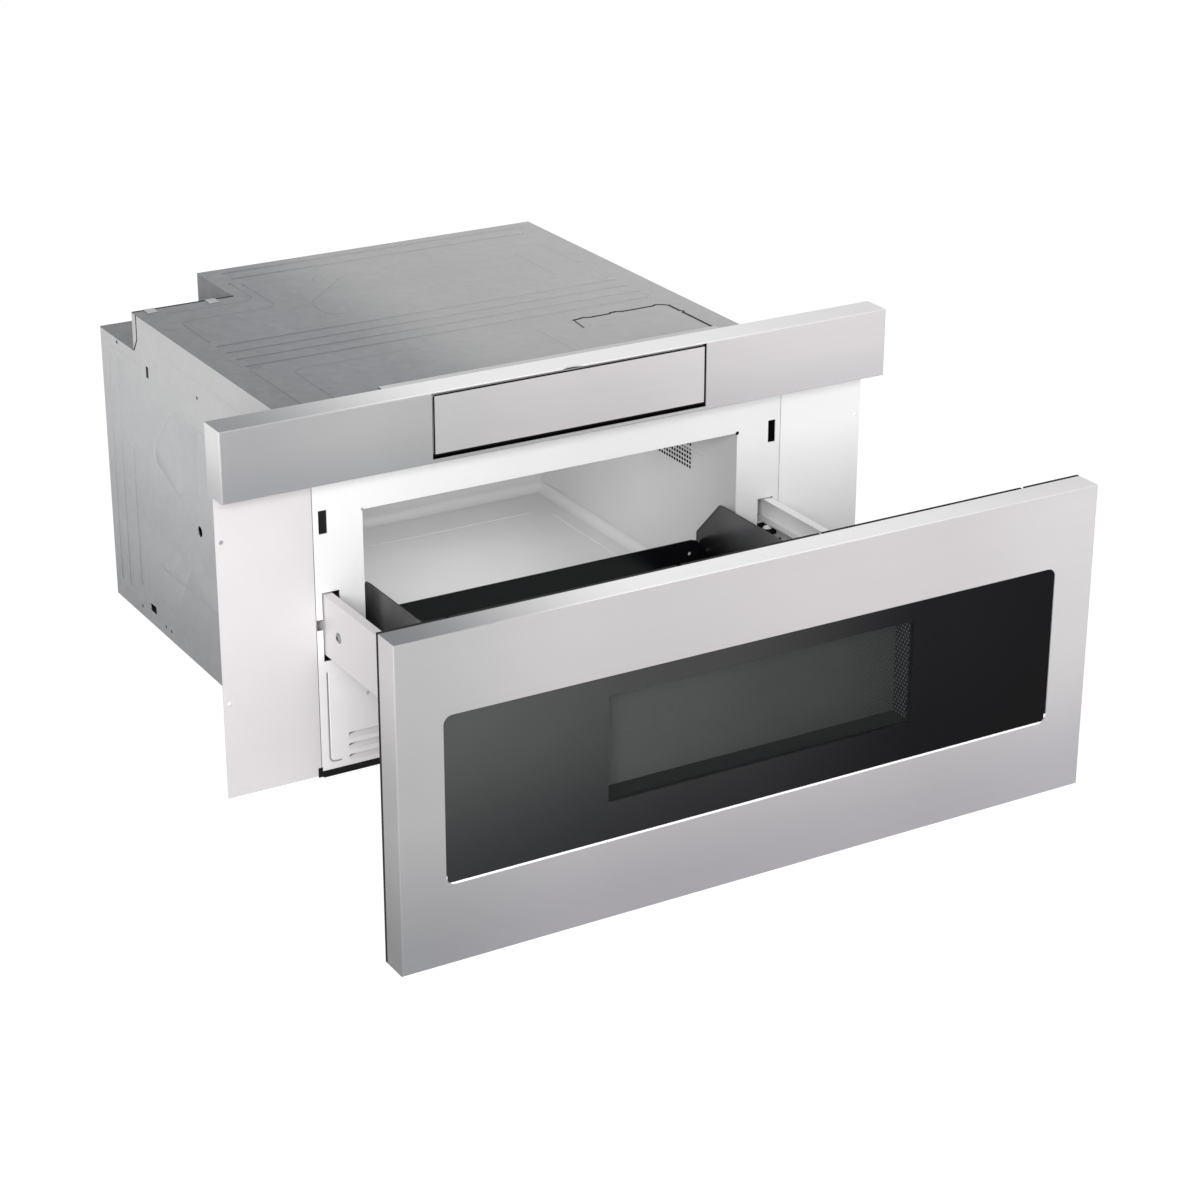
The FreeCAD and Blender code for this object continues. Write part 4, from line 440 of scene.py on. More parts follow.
@dataclass(frozen=True)
class PrintedGlass(Finish):
    """Tempered door glass, printed black on its back except for a clear pane over the screen.

    The print gives the eye a deep smooth black; the pane is smoked.
    """

    smoke: str = "#cccdcd"
    half: float = 167.5
    low: float = 114.5
    high: float = 220.5

    def surface(self, sheet: NodeSheet) -> None:
        """Give the sheet its surface."""
        drift = sheet.grain((60.0, 60.0, 60.0), 2.0)
        sheet.set({"Base Color": sheet.shade(self.tone(sheet), sheet.vary(drift, 0.98, 1.02)),
                   "Roughness": sheet.vary(drift, 0.05, 0.09), "Specular IOR Level": 0.08})
        clear = sheet.add("ShaderNodeBsdfTransparent", links={0: sheet.shade(linear(self.smoke),
                                                                            sheet.vary(drift, 0.99, 1.01))})
        sheen = sheet.add("ShaderNodeBsdfGlossy", links={"Color": linear("#eef2f0"), "Roughness": 0.06})
        pane = sheet.add("ShaderNodeMixShader", links={0: 0.012, 1: clear, 2: sheen})
        across = sheet.add("ShaderNodeMath", {"operation": "ABSOLUTE"}, {0: sheet.along[Axis.X]})
        side = sheet.add("ShaderNodeMath", {"operation": "LESS_THAN"}, {0: across, 1: self.half * MM})
        over = sheet.add("ShaderNodeMath", {"operation": "GREATER_THAN"}, {0: sheet.along[Axis.Z], 1: self.low * MM})
        under = sheet.add("ShaderNodeMath", {"operation": "LESS_THAN"}, {0: sheet.along[Axis.Z], 1: self.high * MM})
        band = sheet.add("ShaderNodeMath", {"operation": "MULTIPLY"}, {0: over, 1: under})
        inside = sheet.add("ShaderNodeMath", {"operation": "MULTIPLY"}, {0: side, 1: band})
        whole = sheet.add("ShaderNodeMixShader", links={0: inside, 1: sheet.shader.outputs[0], 2: pane})
        sheet.plug(sheet.output.inputs["Surface"], whole)


@dataclass(frozen=True)
class ClearGlass(Finish):
    """Tempered soda-lime glass, 5 mm thick.

    It gives the eye a faint green-grey tint and a glint.
    """

    share: float = 0.10

    def surface(self, sheet: NodeSheet) -> None:
        """Give the sheet its surface."""
        drift = sheet.grain((60.0, 60.0, 60.0), 2.0)
        tint = sheet.shade(self.tone(sheet), sheet.vary(drift, 0.98, 1.02))
        clear = sheet.add("ShaderNodeBsdfTransparent", links={0: tint})
        sheet.set({"Base Color": linear("#e8efed"), "Roughness": 0.05})
        whole = sheet.add("ShaderNodeMixShader", links={0: self.share, 1: clear, 2: sheet.shader.outputs[0]})
        sheet.plug(sheet.output.inputs["Surface"], whole)


@dataclass(frozen=True)
class ScreenMesh(Finish):
    """Painted steel screen with staggered round holes, whose colour behind is painted shade, or painted light from
    behind.

    Real screens have holes about 1 mm apart; they are drawn 3 mm apart, because finer ones don't show.
    """

    pitch: float = 3.0
    radius: float = 0.95
    across: Axis = Axis.X
    behind: str = "#1c1e1f"
    fade_from: float = 100.0
    fade_to: float = 175.0

    def surface(self, sheet: NodeSheet) -> None:
        """Give the sheet its surface."""
        rise = self.pitch * math.sqrt(3)
        nearest: object = self.pitch
        for shift in (0.0, 0.5):
            away: object = 0.0
            for axis, step in ((self.across, self.pitch), (Axis.Z, rise)):
                count = sheet.add("ShaderNodeMath", {"operation": "MULTIPLY_ADD"},
                                  {0: sheet.along[axis], 1: 1 / (step * MM), 2: shift})
                part = sheet.add("ShaderNodeMath", {"operation": "FRACT"}, {0: count})
                off = sheet.add("ShaderNodeMath", {"operation": "MULTIPLY_ADD"}, {0: part, 1: step, 2: -step / 2})
                away = sheet.add("ShaderNodeMath", {"operation": "MULTIPLY_ADD"}, {0: off, 1: off, 2: away})
            distance = sheet.add("ShaderNodeMath", {"operation": "SQRT"}, {0: away})
            nearest = sheet.add("ShaderNodeMath", {"operation": "MINIMUM"}, {0: distance, 1: nearest})
        metal = sheet.vary(nearest, 0.0, 1.0, self.radius * 0.85, self.radius * 1.05)
        fade = sheet.vary(sheet.along[self.across], 0.85, 0.0, self.fade_from * MM, self.fade_to * MM)
        filled = sheet.add("ShaderNodeMath", {"operation": "MAXIMUM"}, {0: metal, 1: fade})
        tone = sheet.add("ShaderNodeMix", {"data_type": "RGBA"},
                         {0: filled, 6: linear(self.behind), 7: self.tone(sheet)}, 2)
        sheet.set({"Base Color": tone, "Roughness": 0.5})
        sheet.relief(metal, 0.2, 0.1)


@dataclass(frozen=True)
class CircuitBoard(Finish):
    """Glass-epoxy board under green solder mask.

    It gives the eye traces a little lighter than the ground, about 4 mm apart.
    """

    def surface(self, sheet: NodeSheet) -> None:
        """Give the sheet its surface."""
        traces = sheet.grain((4.0, 26.0, 18.0), 0.0)
        sheet.set({"Base Color": sheet.shade(self.tone(sheet), sheet.vary(traces, 1.0, 1.5, 0.5, 0.54)),
                   "Roughness": 0.4})
        sheet.relief(traces, 0.1, 0.05)


FINISHES: tuple[Finish, ...] = (
    # Painted reflection and shade: the door's steel darkens towards the left and the bottom, and its ends and top faces
    # get their own tones.
    BrushedSteel(Look.DOOR_STEEL,
                 (Shift(Axis.X, ((-380, "#9d9d9d"), (-180, "#b2afb0"), (180, "#c2bebf"), (380, "#cfcccd"))),
                  Shift(Axis.Z, ((0, "#d2d3d8"), (170, "#f8f8f8"), (300, "#ffffff")))),
                 ends=(Shift(Axis.Z, ((0, "#717271"), (160, "#989898"), (300, "#c2bebf"))),),
                 tops=(Shift(Axis.X, ((-380, "#727377"), (-120, "#f6f6f6"), (100, "#f6f6f6"), (380, "#e8e6e6"))),)),
    # Painted reflection and shade: the trim's steel darkens towards the left and the bottom, its top darkest at the
    # left end.
    BrushedSteel(Look.TRIM_STEEL,
                 (Shift(Axis.X, ((-380, "#a9a9ac"), (-200, "#bdbdbd"), (150, "#ddd9da"), (380, "#dcd8d9"))),
                  Shift(Axis.Z, ((324, "#f2f3f5"), (372, "#ffffff")))),
                 ends=(Shift(Axis.Z, ((324, "#bababa"), (390, "#e2e2e2"))),),
                 tops=(Shift(Axis.X, ((-380, "#8a8b8f"), (-120, "#fcfcfc"), (100, "#fcfcfc"), (380, "#f0eeee"))),)),
    # Painted reflection: the flap's steel darkens towards the left.
    BrushedSteel(Look.FLAP_STEEL,
                 (Shift(Axis.X, ((-156, "#cfcecf"), (0, "#dfdbdc"), (156, "#e4e0e1"))),)),
    # Painted highlight: the window's cut edge is drawn white and nearly matt, not as steel.
    BrushedSteel(Look.EDGE_STEEL, plain("#ffffff"), metallic=0.1, roughness=0.25),
    # Painted reflection: the cover's zinc is darker at the left and lighter towards the right.
    ZincSheet(Look.COVER_ZINC, (Shift(Axis.X, ((-273, "#76777b"), (-130, "#828488"), (30, "#acacac"),
                                               (273, "#b6b6b6"))),)),
    # Painted shade: the side sheets' zinc darkens towards the bottom.
    ZincSheet(Look.SIDE_ZINC, (Shift(Axis.Z, ((0, "#8a8b8d"), (120, "#a6a7aa"), (230, "#bdbec1"),
                                              (330, "#c6c7c6"))),)),
    # Painted shade: the zinc in the cord recess is darker than the cover and darkens towards the bottom.
    ZincSheet(Look.RECESS_ZINC, (Shift(Axis.Z, ((320, "#6c6d71"), (365, "#76777b"))),)),
    # Painted light: the folded tabs are a lighter copy of the cover's zinc.
    ZincSheet(Look.TAB_ZINC, plain("#b2b3b4")),
    ZincSheet(Look.BASE_ZINC, plain("#aeb0b1")),
    # Painted shade: the white front darkens slightly towards the bottom.
    PowderPaint(Look.FRAME_PAINT, (Shift(Axis.Z, ((0, "#ece9ea"), (90, "#f2f0f0"), (300, "#fafafa"))),)),
    # Painted shade: the flanges darken towards the left and the bottom.
    PowderPaint(Look.FLANGE_PAINT, (Shift(Axis.X, ((-270, "#e2dedf"), (270, "#ffffff"))),
                                    Shift(Axis.Z, ((0, "#efefef"), (300, "#ffffff"))))),
    # Painted shade: the grey line in the pressed beads of the white front.
    PowderPaint(Look.SHADE_PAINT, plain("#8c8a8b")),
    # Painted light and shade: the left rail is darker and the right one white.
    PowderPaint(Look.RAIL_PAINT, (Shift(Axis.X, ((-200, "#dfdbdc"), (200, "#ffffff"))),)),
    MouldedPlastic(Look.BLACK_PLASTIC, plain("#0b0b0c"), roughness=0.6, gloss=0.15),
    MouldedPlastic(Look.GREY_PLASTIC, plain("#6c6e70")),
    # Painted shade and light: the housing is near black so the gaps round the flap look dark, and its top faces are
    # light.
    MouldedPlastic(Look.STRIP_PLASTIC, plain("#0d0d0e"),
                   tops=(Shift(Axis.Z, ((380, "#0d0d0e"), (393, "#dcdcdc"))),), relief=0.03, gloss=0.15),
    MouldedPlastic(Look.WHITE_PLASTIC, plain("#e6e6e3"), roughness=0.42),
    MouldedPlastic(Look.BALL_PLASTIC, plain("#f4f4f2"), roughness=0.25, relief=0.02),
    MouldedPlastic(Look.RED_PLASTIC, plain("#a03a30"), roughness=0.35),
    Enamel(Look.CAVITY_ENAMEL, plain("#cecece"), roughness=0.30),
    Enamel(Look.FLOOR_CERAMIC, plain("#c9c9c9"), roughness=0.34),
    # Painted reflection: faces of the black tray that look along X, and its rolled edges, turn lighter towards the
    # front and top.
    Enamel(Look.TRAY_ENAMEL, plain("#0b0b0f"),
           ends=(Shift(Axis.Y, ((-280, "#c4c5c5"), (-30, "#5c5c5e"), (30, "#38383a"))),
                 Shift(Axis.Z, ((125, "#2a2a2a"), (190, "#ffffff")))), roughness=0.22),
    PowderPaint(Look.DOOR_BLACK, plain("#333338"), roughness=0.5, gloss=0.2),
    Enamel(Look.PANEL_GLASS, plain("#0b0b0d"), roughness=0.07, ripple=60.0),
    # Painted reflection: the black glass is lighter at the left and darker towards the right and the bottom.
    PrintedGlass(Look.DOOR_GLASS,
                 (Shift(Axis.X, ((-342, "#464847"), (-60, "#3a3a3a"), (200, "#0e0e13"), (342, "#07070b"))),
                  Shift(Axis.Z, ((67, "#a0a0a8"), (230, "#ffffff"))))),
    ClearGlass(Look.TRAY_GLASS, plain("#ced1d0")),
    # Painted shade: the screen darkens towards the right, and the dark behind its holes is painted shade.
    ScreenMesh(Look.SCREEN_MESH, (Shift(Axis.X, ((-167, "#b2b3b3"), (167, "#828283"))),), behind="#3a3c3d"),
    # Painted shade and light: the flange is a dark copy of the screen's paint, with painted light from behind in its
    # holes.
    ScreenMesh(Look.SCREEN_RETURN, plain("#2a2a2f"), pitch=4.4, radius=1.35, behind="#a2a2aa", across=Axis.Y,
               fade_from=-400.0, fade_to=-399.0),
    DrawnMetal(Look.SCREW_STEEL, plain("#a4a6a8")),
    DrawnMetal(Look.SLIDE_STEEL, plain("#dedede"), metallic=0.3, roughness=0.45),
    DrawnMetal(Look.MAGNETRON_METAL, plain("#b4b6b8")),
    DrawnMetal(Look.ANTENNA_METAL, plain("#c2c4c6")),
    PowderPaint(Look.MOTOR_CAN, plain("#7c7f82"), roughness=0.4),
    CircuitBoard(Look.BOARD, plain("#2f5a3a")),
)


class Palette:
    """Makes each finish once and gives it to solids and pieces."""

    def __init__(self, finishes: Iterable[Finish]) -> None:
        """Build every material."""
        self.materials = {finish.look: finish.material() for finish in finishes}

    def dress_solids(self) -> None:
        """Give every solid the finish of its node, or else of its slot in the record."""
        by_slot: dict[str, Look] = {}
        for look in Look:
            by_slot.setdefault(look.slot, look)
        by_slot["white_paint"] = Look.FLANGE_PAINT
        by_slot["grey_plastic"] = Look.GREY_PLASTIC
        slots = {entry["node"]: entry["material_slot"] for entry in frame["record"]["subparts"]}
        for name, target in frame["nodes"].items():
            self.dress_solid(target, NODE_LOOKS.get(name, by_slot[slots[name]]))
        LOG.info("%d solids dressed", len(frame["nodes"]))

    def dress_solid(self, target: bpy.types.Object, look: Look) -> None:
        """Put a finish in a solid's own material slots, its mesh left as it is."""
        if not target.material_slots:
            target.data.materials.append(None)
        for holder in target.material_slots:
            holder.link = "OBJECT"
            holder.material = self.materials[look]


# ---------------------------------------------------------------------------- shaping

def finish_piece(name: str, mesh: bmesh.types.BMesh, body: Body, look: Look, palette: Palette,
                 replaced: Sequence[str] = (), angle: float = 32.0) -> bpy.types.Object:
    """Turn a bmesh into a finished piece that rides on a body.

    Args:
        name: the piece's name.
        mesh: its geometry in the frame of the solids, freed here.
        body: the body that it moves with.
        look: its finish.
        palette: the materials.
        replaced: the solids that it stands for.
        angle: edges sharper than this, in degrees, stay sharp.

    Returns:
        The new object.
    """
    bmesh.ops.remove_doubles(mesh, verts=mesh.verts, dist=1e-6)
    bmesh.ops.dissolve_degenerate(mesh, edges=mesh.edges, dist=1e-7)
    bmesh.ops.recalc_face_normals(mesh, faces=mesh.faces)
    data = bpy.data.meshes.new(name)
    mesh.to_mesh(data)
    mesh.free()
    piece = bpy.data.objects.new(name, data)
    bpy.context.scene.collection.objects.link(piece)
    data.shade_smooth()
    data.set_sharp_from_angle(angle=math.radians(angle))
    data.materials.append(palette.materials[look])
    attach(piece, body.value)
    if replaced:
        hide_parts(*replaced)
    LOG.info("%s: %d faces on %s", name, len(data.polygons), body.value)
    return piece


def add_block(mesh: bmesh.types.BMesh, low: Sequence[float], high: Sequence[float],
              bevel: float) -> list[bmesh.types.BMVert]:
    """Add a box between two corners with its edges bevelled.

    Args:
        mesh: where the box goes.
        low: its lowest corner.
        high: its highest corner.
        bevel: the width of the bevel.

    Returns:
        The box's vertices.
    """
    sizes = [b - a for a, b in zip(low, high)]
    middle = [(a + b) / 2 for a, b in zip(low, high)]
    matrix = Matrix.Translation(middle) @ Matrix.Diagonal((*sizes, 1))
    made = bmesh.ops.create_cube(mesh, size=1, matrix=matrix)["verts"]
    edges = list({edge for vertex in made for edge in vertex.link_edges})
    shaped = bmesh.ops.bevel(mesh, geom=edges, offset=bevel, segments=2, affect="EDGES", profile=0.5, material=-1)
    return list({vertex for face in shaped["faces"] for vertex in face.verts})


def rounded(corners: Sequence[Flat], radius: float, closed: bool = False, steps: int = 5) -> list[Flat]:
    """Round the corners of a plane path.

    Args:
        corners: the path's corners.
        radius: the largest reach of a rounded corner.
        closed: whether the last corner joins the first.
        steps: points on each rounded corner.

    Returns:
        The points of the rounded path.
    """
    points = [Vector(corner) for corner in corners]
    count = len(points)
    out: list[Flat] = []
    for index, point in enumerate(points):
        if not closed and index in (0, count - 1):
            out.append((point.x, point.y))
            continue
        before = points[index - 1]
        after = points[(index + 1) % count]
        reach = min(radius, (before - point).length / 2, (after - point).length / 2)
        start = point + (before - point).normalized() * reach
        end = point + (after - point).normalized() * reach
        for step in range(steps + 1):
            share = step / steps
            place = start.lerp(point, share).lerp(point.lerp(end, share), share)
            out.append((place.x, place.y))
    return out


def sweep(mesh: bmesh.types.BMesh, section: Sequence[Flat], path: Sequence[Vector], normal: Vector,
          closed: bool = False) -> None:
    """Draw a closed section along a path on a flat face by extruding it from point to point.

    Args:
        mesh: where the swept form goes.
        section: points of the section, across the path and along the normal.
        path: points on the face.
        normal: the face's outward direction.
        closed: whether the path is a loop.
    """
    count = len(path)
    frames = []
    for index, point in enumerate(path):
        before = path[index - 1] if index or closed else point
        after = path[(index + 1) % count] if index < count - 1 or closed else point
        ahead = (after - before).normalized()
        across = normal.cross(ahead).normalized()
        frames.append(Matrix.Translation(point) @ Matrix((across, normal, ahead)).transposed().to_4x4())
    ring = [mesh.verts.new(frames[0] @ Vector((u, v, 0))) for u, v in section]
    first = [mesh.edges.new((a, b)) for a, b in zip(ring, ring[1:] + ring[:1])]
    last = first
    for before, after in zip(frames, frames[1:]):
        made = bmesh.ops.extrude_edge_only(mesh, edges=last)["geom"]
        fresh = [item for item in made if isinstance(item, bmesh.types.BMVert)]
        bmesh.ops.transform(mesh, matrix=after @ before.inverted(), verts=fresh)
        last = [item for item in made if isinstance(item, bmesh.types.BMEdge)
                and all(vertex in fresh for vertex in item.verts)]
    if closed:
        bmesh.ops.bridge_loops(mesh, edges=first + last)
        return
    bmesh.ops.edgeloop_fill(mesh, edges=first)
    bmesh.ops.edgeloop_fill(mesh, edges=last)


def add_disc(mesh: bmesh.types.BMesh, middle: Vector, out: Vector, radius: float, rise: float) -> None:
    """Add a thin round plate.

    Args:
        mesh: where it goes.
        middle: the middle of its foot.
        out: the way that it faces.
        radius: its radius.
        rise: its thickness, half of it behind its foot.
    """
    turn = out.to_track_quat("Z", "Y").to_matrix().to_4x4()
    matrix = Matrix.Translation(middle) @ turn
    bmesh.ops.create_cone(mesh, cap_ends=True, segments=12, radius1=radius, radius2=radius * 0.95, depth=rise,
                          matrix=matrix)


def turned(profile: Sequence[Flat], steps: int = 28) -> bmesh.types.BMesh:
    """Spin a profile of radius and height about Z into a closed solid.

    Args:
        profile: radius and height pairs that start and end on the axis.
        steps: parts of the full turn.

    Returns:
        The new mesh.
    """
    mesh = bmesh.new()
    points = [mesh.verts.new((radius, 0, height)) for radius, height in profile]
    edges = [mesh.edges.new((a, b)) for a, b in zip(points, points[1:])]
    bmesh.ops.spin(mesh, geom=points + edges, cent=(0, 0, 0), axis=(0, 0, 1), angle=2 * math.pi, steps=steps,
                   use_merge=True)
    bmesh.ops.remove_doubles(mesh, verts=mesh.verts, dist=1e-6)
    bmesh.ops.recalc_face_normals(mesh, faces=mesh.faces)
    return mesh


def carved(blank: bmesh.types.BMesh, cutter: bmesh.types.BMesh) -> bmesh.types.BMesh:
    """Take one closed mesh away from another.

    Args:
        blank: what is cut, freed here.
        cutter: what cuts it, freed here.

    Returns:
        The cut mesh.
    """
    items = []
    for name, mesh in (("blank", blank), ("cutter", cutter)):
        bmesh.ops.recalc_face_normals(mesh, faces=mesh.faces)
        data = bpy.data.meshes.new(name)
        mesh.to_mesh(data)
        mesh.free()
        item = bpy.data.objects.new(name, data)
        bpy.context.scene.collection.objects.link(item)
        items.append(item)
    cut = items[0].modifiers.new("cut", "BOOLEAN")
    cut.object = items[1]
    cut.operation = "DIFFERENCE"
    cut.solver = "EXACT"
    cut.use_self = True
    shown = items[0].evaluated_get(bpy.context.evaluated_depsgraph_get())
    result = bmesh.new()
    result.from_mesh(shown.to_mesh())
    for item in items:
        data = item.data
        bpy.data.objects.remove(item)
        bpy.data.meshes.remove(data)
    return result


# ---------------------------------------------------------------------------- sub-assemblies

class Face(Enum):
    """The faces of the chassis that carry pressed beads."""

    TOP = "top"
    LEFT = "left"
    RIGHT = "right"
    FRONT = "front"


@dataclass
class PressedSheet:
    """A chassis sheet with beads pressed into it: its solid, with grooves of an arched section cut in.

    Attributes:
        node: the sheet's solid.
        face: the way that the pressed face looks.
        level: where the face is, in millimetres along its normal from the middle or the origin.
        look: the sheet's finish.
        paths: whether each bead is a loop, and its corners in millimetres on the face.
        width: the width of the beads in millimetres.
        depth: their depth in millimetres, under the sheet's thickness.
        radius: how far the corners of the paths are rounded, in millimetres.
        wide_paths: the same for the beads that are as wide as the solid's own grooves.
    """

    node: str
    face: Face
    level: float
    look: Look
    paths: Sequence[tuple[bool, Sequence[Flat]]]
    width: float = 3.6
    depth: float = 0.75
    radius: float = 14.0
    wide_paths: Sequence[tuple[bool, Sequence[Flat]]] = ()
    wide_width: float = 7.4
    angle: float = 10.0

    def place(self, first: float, second: float) -> Vector:
        """Put a point of the face in space."""
        if self.face is Face.TOP:
            return Vector((first, second, self.level)) * MM
        if self.face is Face.FRONT:
            return Vector((first, -self.level, second)) * MM
        side = -1 if self.face is Face.LEFT else 1
        return Vector((side * self.level, first, second)) * MM

    def normal(self) -> Vector:
        """The outward direction of the face."""
        return {Face.TOP: Vector((0, 0, 1)), Face.FRONT: Vector((0, -1, 0)),
                Face.LEFT: Vector((-1, 0, 0)), Face.RIGHT: Vector((1, 0, 0))}[self.face]

    def arch(self, width: float) -> list[Flat]:
        """The section of the cutter: an upside-down arch with its lid above the face."""
        half = width / 2 * MM
        deep = self.depth * MM
        return [(-half, 0.4 * MM), (-half, 0.02 * MM), (-half * 0.62, -deep * 0.62), (-half * 0.3, -deep),
                (half * 0.3, -deep), (half * 0.62, -deep * 0.62), (half, 0.02 * MM), (half, 0.4 * MM)]

    def build(self, palette: Palette) -> None:
        """Cut the beads into a copy of the solid's mesh."""
        blank = bmesh.new()
        blank.from_mesh(frame["nodes"][self.node].data)
        bmesh.ops.remove_doubles(blank, verts=blank.verts, dist=1e-6)
        cutter = bmesh.new()
        for paths, width in ((self.paths, self.width), (self.wide_paths, self.wide_width)):
            for closed, corners in paths:
                points = [self.place(a, b) for a, b in rounded(corners, self.radius, closed)]
                sweep(cutter, self.arch(width), points, self.normal(), closed)
        finish_piece(f"{self.node}_pressed", carved(blank, cutter), Body.CHASSIS, self.look, palette, (self.node,),
                     self.angle)


def rib_paths(rows: Iterable[tuple[float, float, float]], across: bool) -> list[tuple[bool, Sequence[Flat]]]:
    """Straight beads: each row's place, start and end, drawn across or up the face."""
    if across:
        return [(False, ((start, place), (end, place))) for place, start, end in rows]
    return [(False, ((place, start), (place, end))) for place, start, end in rows]


TOP_BEADS = (
    (False, ((-56, 450), (-46, 470), (238, 470), (240, 302), (228, 298))),
    (False, ((-26, 446), (-94, 378), (-94, 331), (193, 331), (193, 432))),
    (False, ((-243, 423), (-139, 423), (-139, 492))),
    (False, ((-243, 306), (-243, 388), (-128, 388), (-128, 480))),
    (False, ((-243, 60), (-243, 209), (-228, 209))),
    (False, ((-207, 60), (-207, 183), (76, 183), (76, 60))),
)
TOP_RIBS = rib_paths([(505, -128, 239), (530, -128, 239)] + [(215 + 25 * step, -239, 239) for step in range(4)], True)
SIDE_BEADS = (
    (False, ((40, 337), (360, 337))),
    (False, ((440, 309), (522, 309))),
    (True, ((140, 84), (404, 84), (404, 228), (350, 282), (160, 282), (90, 230), (90, 130))),
)
SIDE_RIBS = rib_paths([(526.3, 29, 297), (501.3, 29, 297), (466.3, 43, 230)], False)
FRONT_BEADS = tuple((False, ((side * 262.7, 112), (side * 262.7, 12.3), (side * 250, 12.3))) for side in (-1, 1))


@dataclass
class BeadShade:
    """A grey line of painted shade on the bottom of the bead that is pressed round each lower corner of the white
    front.

    Attributes:
        level: the bottom of the groove.
        half: half the width of the shaded line.
        radius: the rounding of the bead's corner in millimetres.
    """

    level: float = 0.00078
    half: float = 0.0008
    radius: float = 14.0

    def build(self, palette: Palette) -> None:
        """Build the line in both beads."""
        mesh = bmesh.new()
        section = [(-self.half, -0.0001), (-self.half, 0.0001), (self.half, 0.0001), (self.half, -0.0001)]
        for _, corners in FRONT_BEADS:
            path = [Vector((x * MM, self.level, z * MM)) for x, z in rounded(corners, self.radius)]
            sweep(mesh, section, path, Vector((0, -1, 0)))
        finish_piece("front_bead_shade", mesh, Body.CHASSIS, Look.SHADE_PAINT, palette)


@dataclass
class LouvreVanes:
    """The vanes behind the louvre slots, flush at their foot and pressed back towards the top.

    Attributes:
        start: the outer end of the slots.
        length: their length.
        first: the middle of the lowest slot.
        pitch: the distance between slots.
        height: the height of a slot.
        depth: how far a vane is pressed back at its top.
        share: how much of the slot's height a vane covers; the rest is dark.
        run_in: how long a vane's end takes to reach its depth.
        sheet: the vane's thickness.
    """

    start: float = 0.2425
    length: float = 0.150
    first: float = 0.0124
    pitch: float = 0.0123
    height: float = 0.0070
    # share: how much of the slot's height a vane covers; the rest shows a black plate of painted shade.
    share: float = 0.66
    depth: float = 0.0052
    run_in: float = 0.016
    sheet: float = 0.0008
    grid: tuple[int, int] = (40, 8)

    def build(self, palette: Palette) -> None:
        """Build the vanes of both sides."""
        mesh = bmesh.new()
        for side in (-1, 1):
            for row in range(3):
                self.add_vane(mesh, side, self.first + row * self.pitch)
        finish_piece("louvre_vanes", mesh, Body.CHASSIS, Look.FRAME_PAINT, palette)
        # A black plate of painted shade behind the slots.
        shade = bmesh.new()
        for side in (-1, 1):
            near, far = sorted((side * (self.start - self.length), side * self.start))
            add_block(shade, (near, self.depth + 0.0014, 0.0096), (far, self.depth + 0.0020, 0.0420), 0.0001)
        finish_piece("louvre_shade", shade, Body.CHASSIS, Look.BLACK_PLASTIC, palette)

    def add_vane(self, mesh: bmesh.types.BMesh, side: int, middle: float) -> None:
        """Press one vane out of a grid.

        Args:
            mesh: where the vane goes.
            side: -1 for the left and 1 for the right.
            middle: the height of its slot.
        """
        part = bmesh.new()
        bmesh.ops.create_grid(part, x_segments=self.grid[0], y_segments=self.grid[1], size=0.5)
        for vertex in part.verts:
            along = vertex.co.x + 0.5
            up = vertex.co.y + 0.5
            ends = min(along, 1 - along) * self.length / self.run_in
            press = min(1.0, ends) ** 0.7 * up ** 0.8
            vertex.co = Vector((side * (self.start - along * self.length), 0.0004 + self.depth * press,
                                middle + (up * self.share - 0.5) * self.height))
        bmesh.ops.recalc_face_normals(part, faces=part.faces)
        bmesh.ops.solidify(part, geom=part.faces[:], thickness=self.sheet)
        part.verts.ensure_lookup_table()
        stock = bpy.data.meshes.new("vane")
        part.to_mesh(stock)
        part.free()
        mesh.from_mesh(stock)
        bpy.data.meshes.remove(stock)


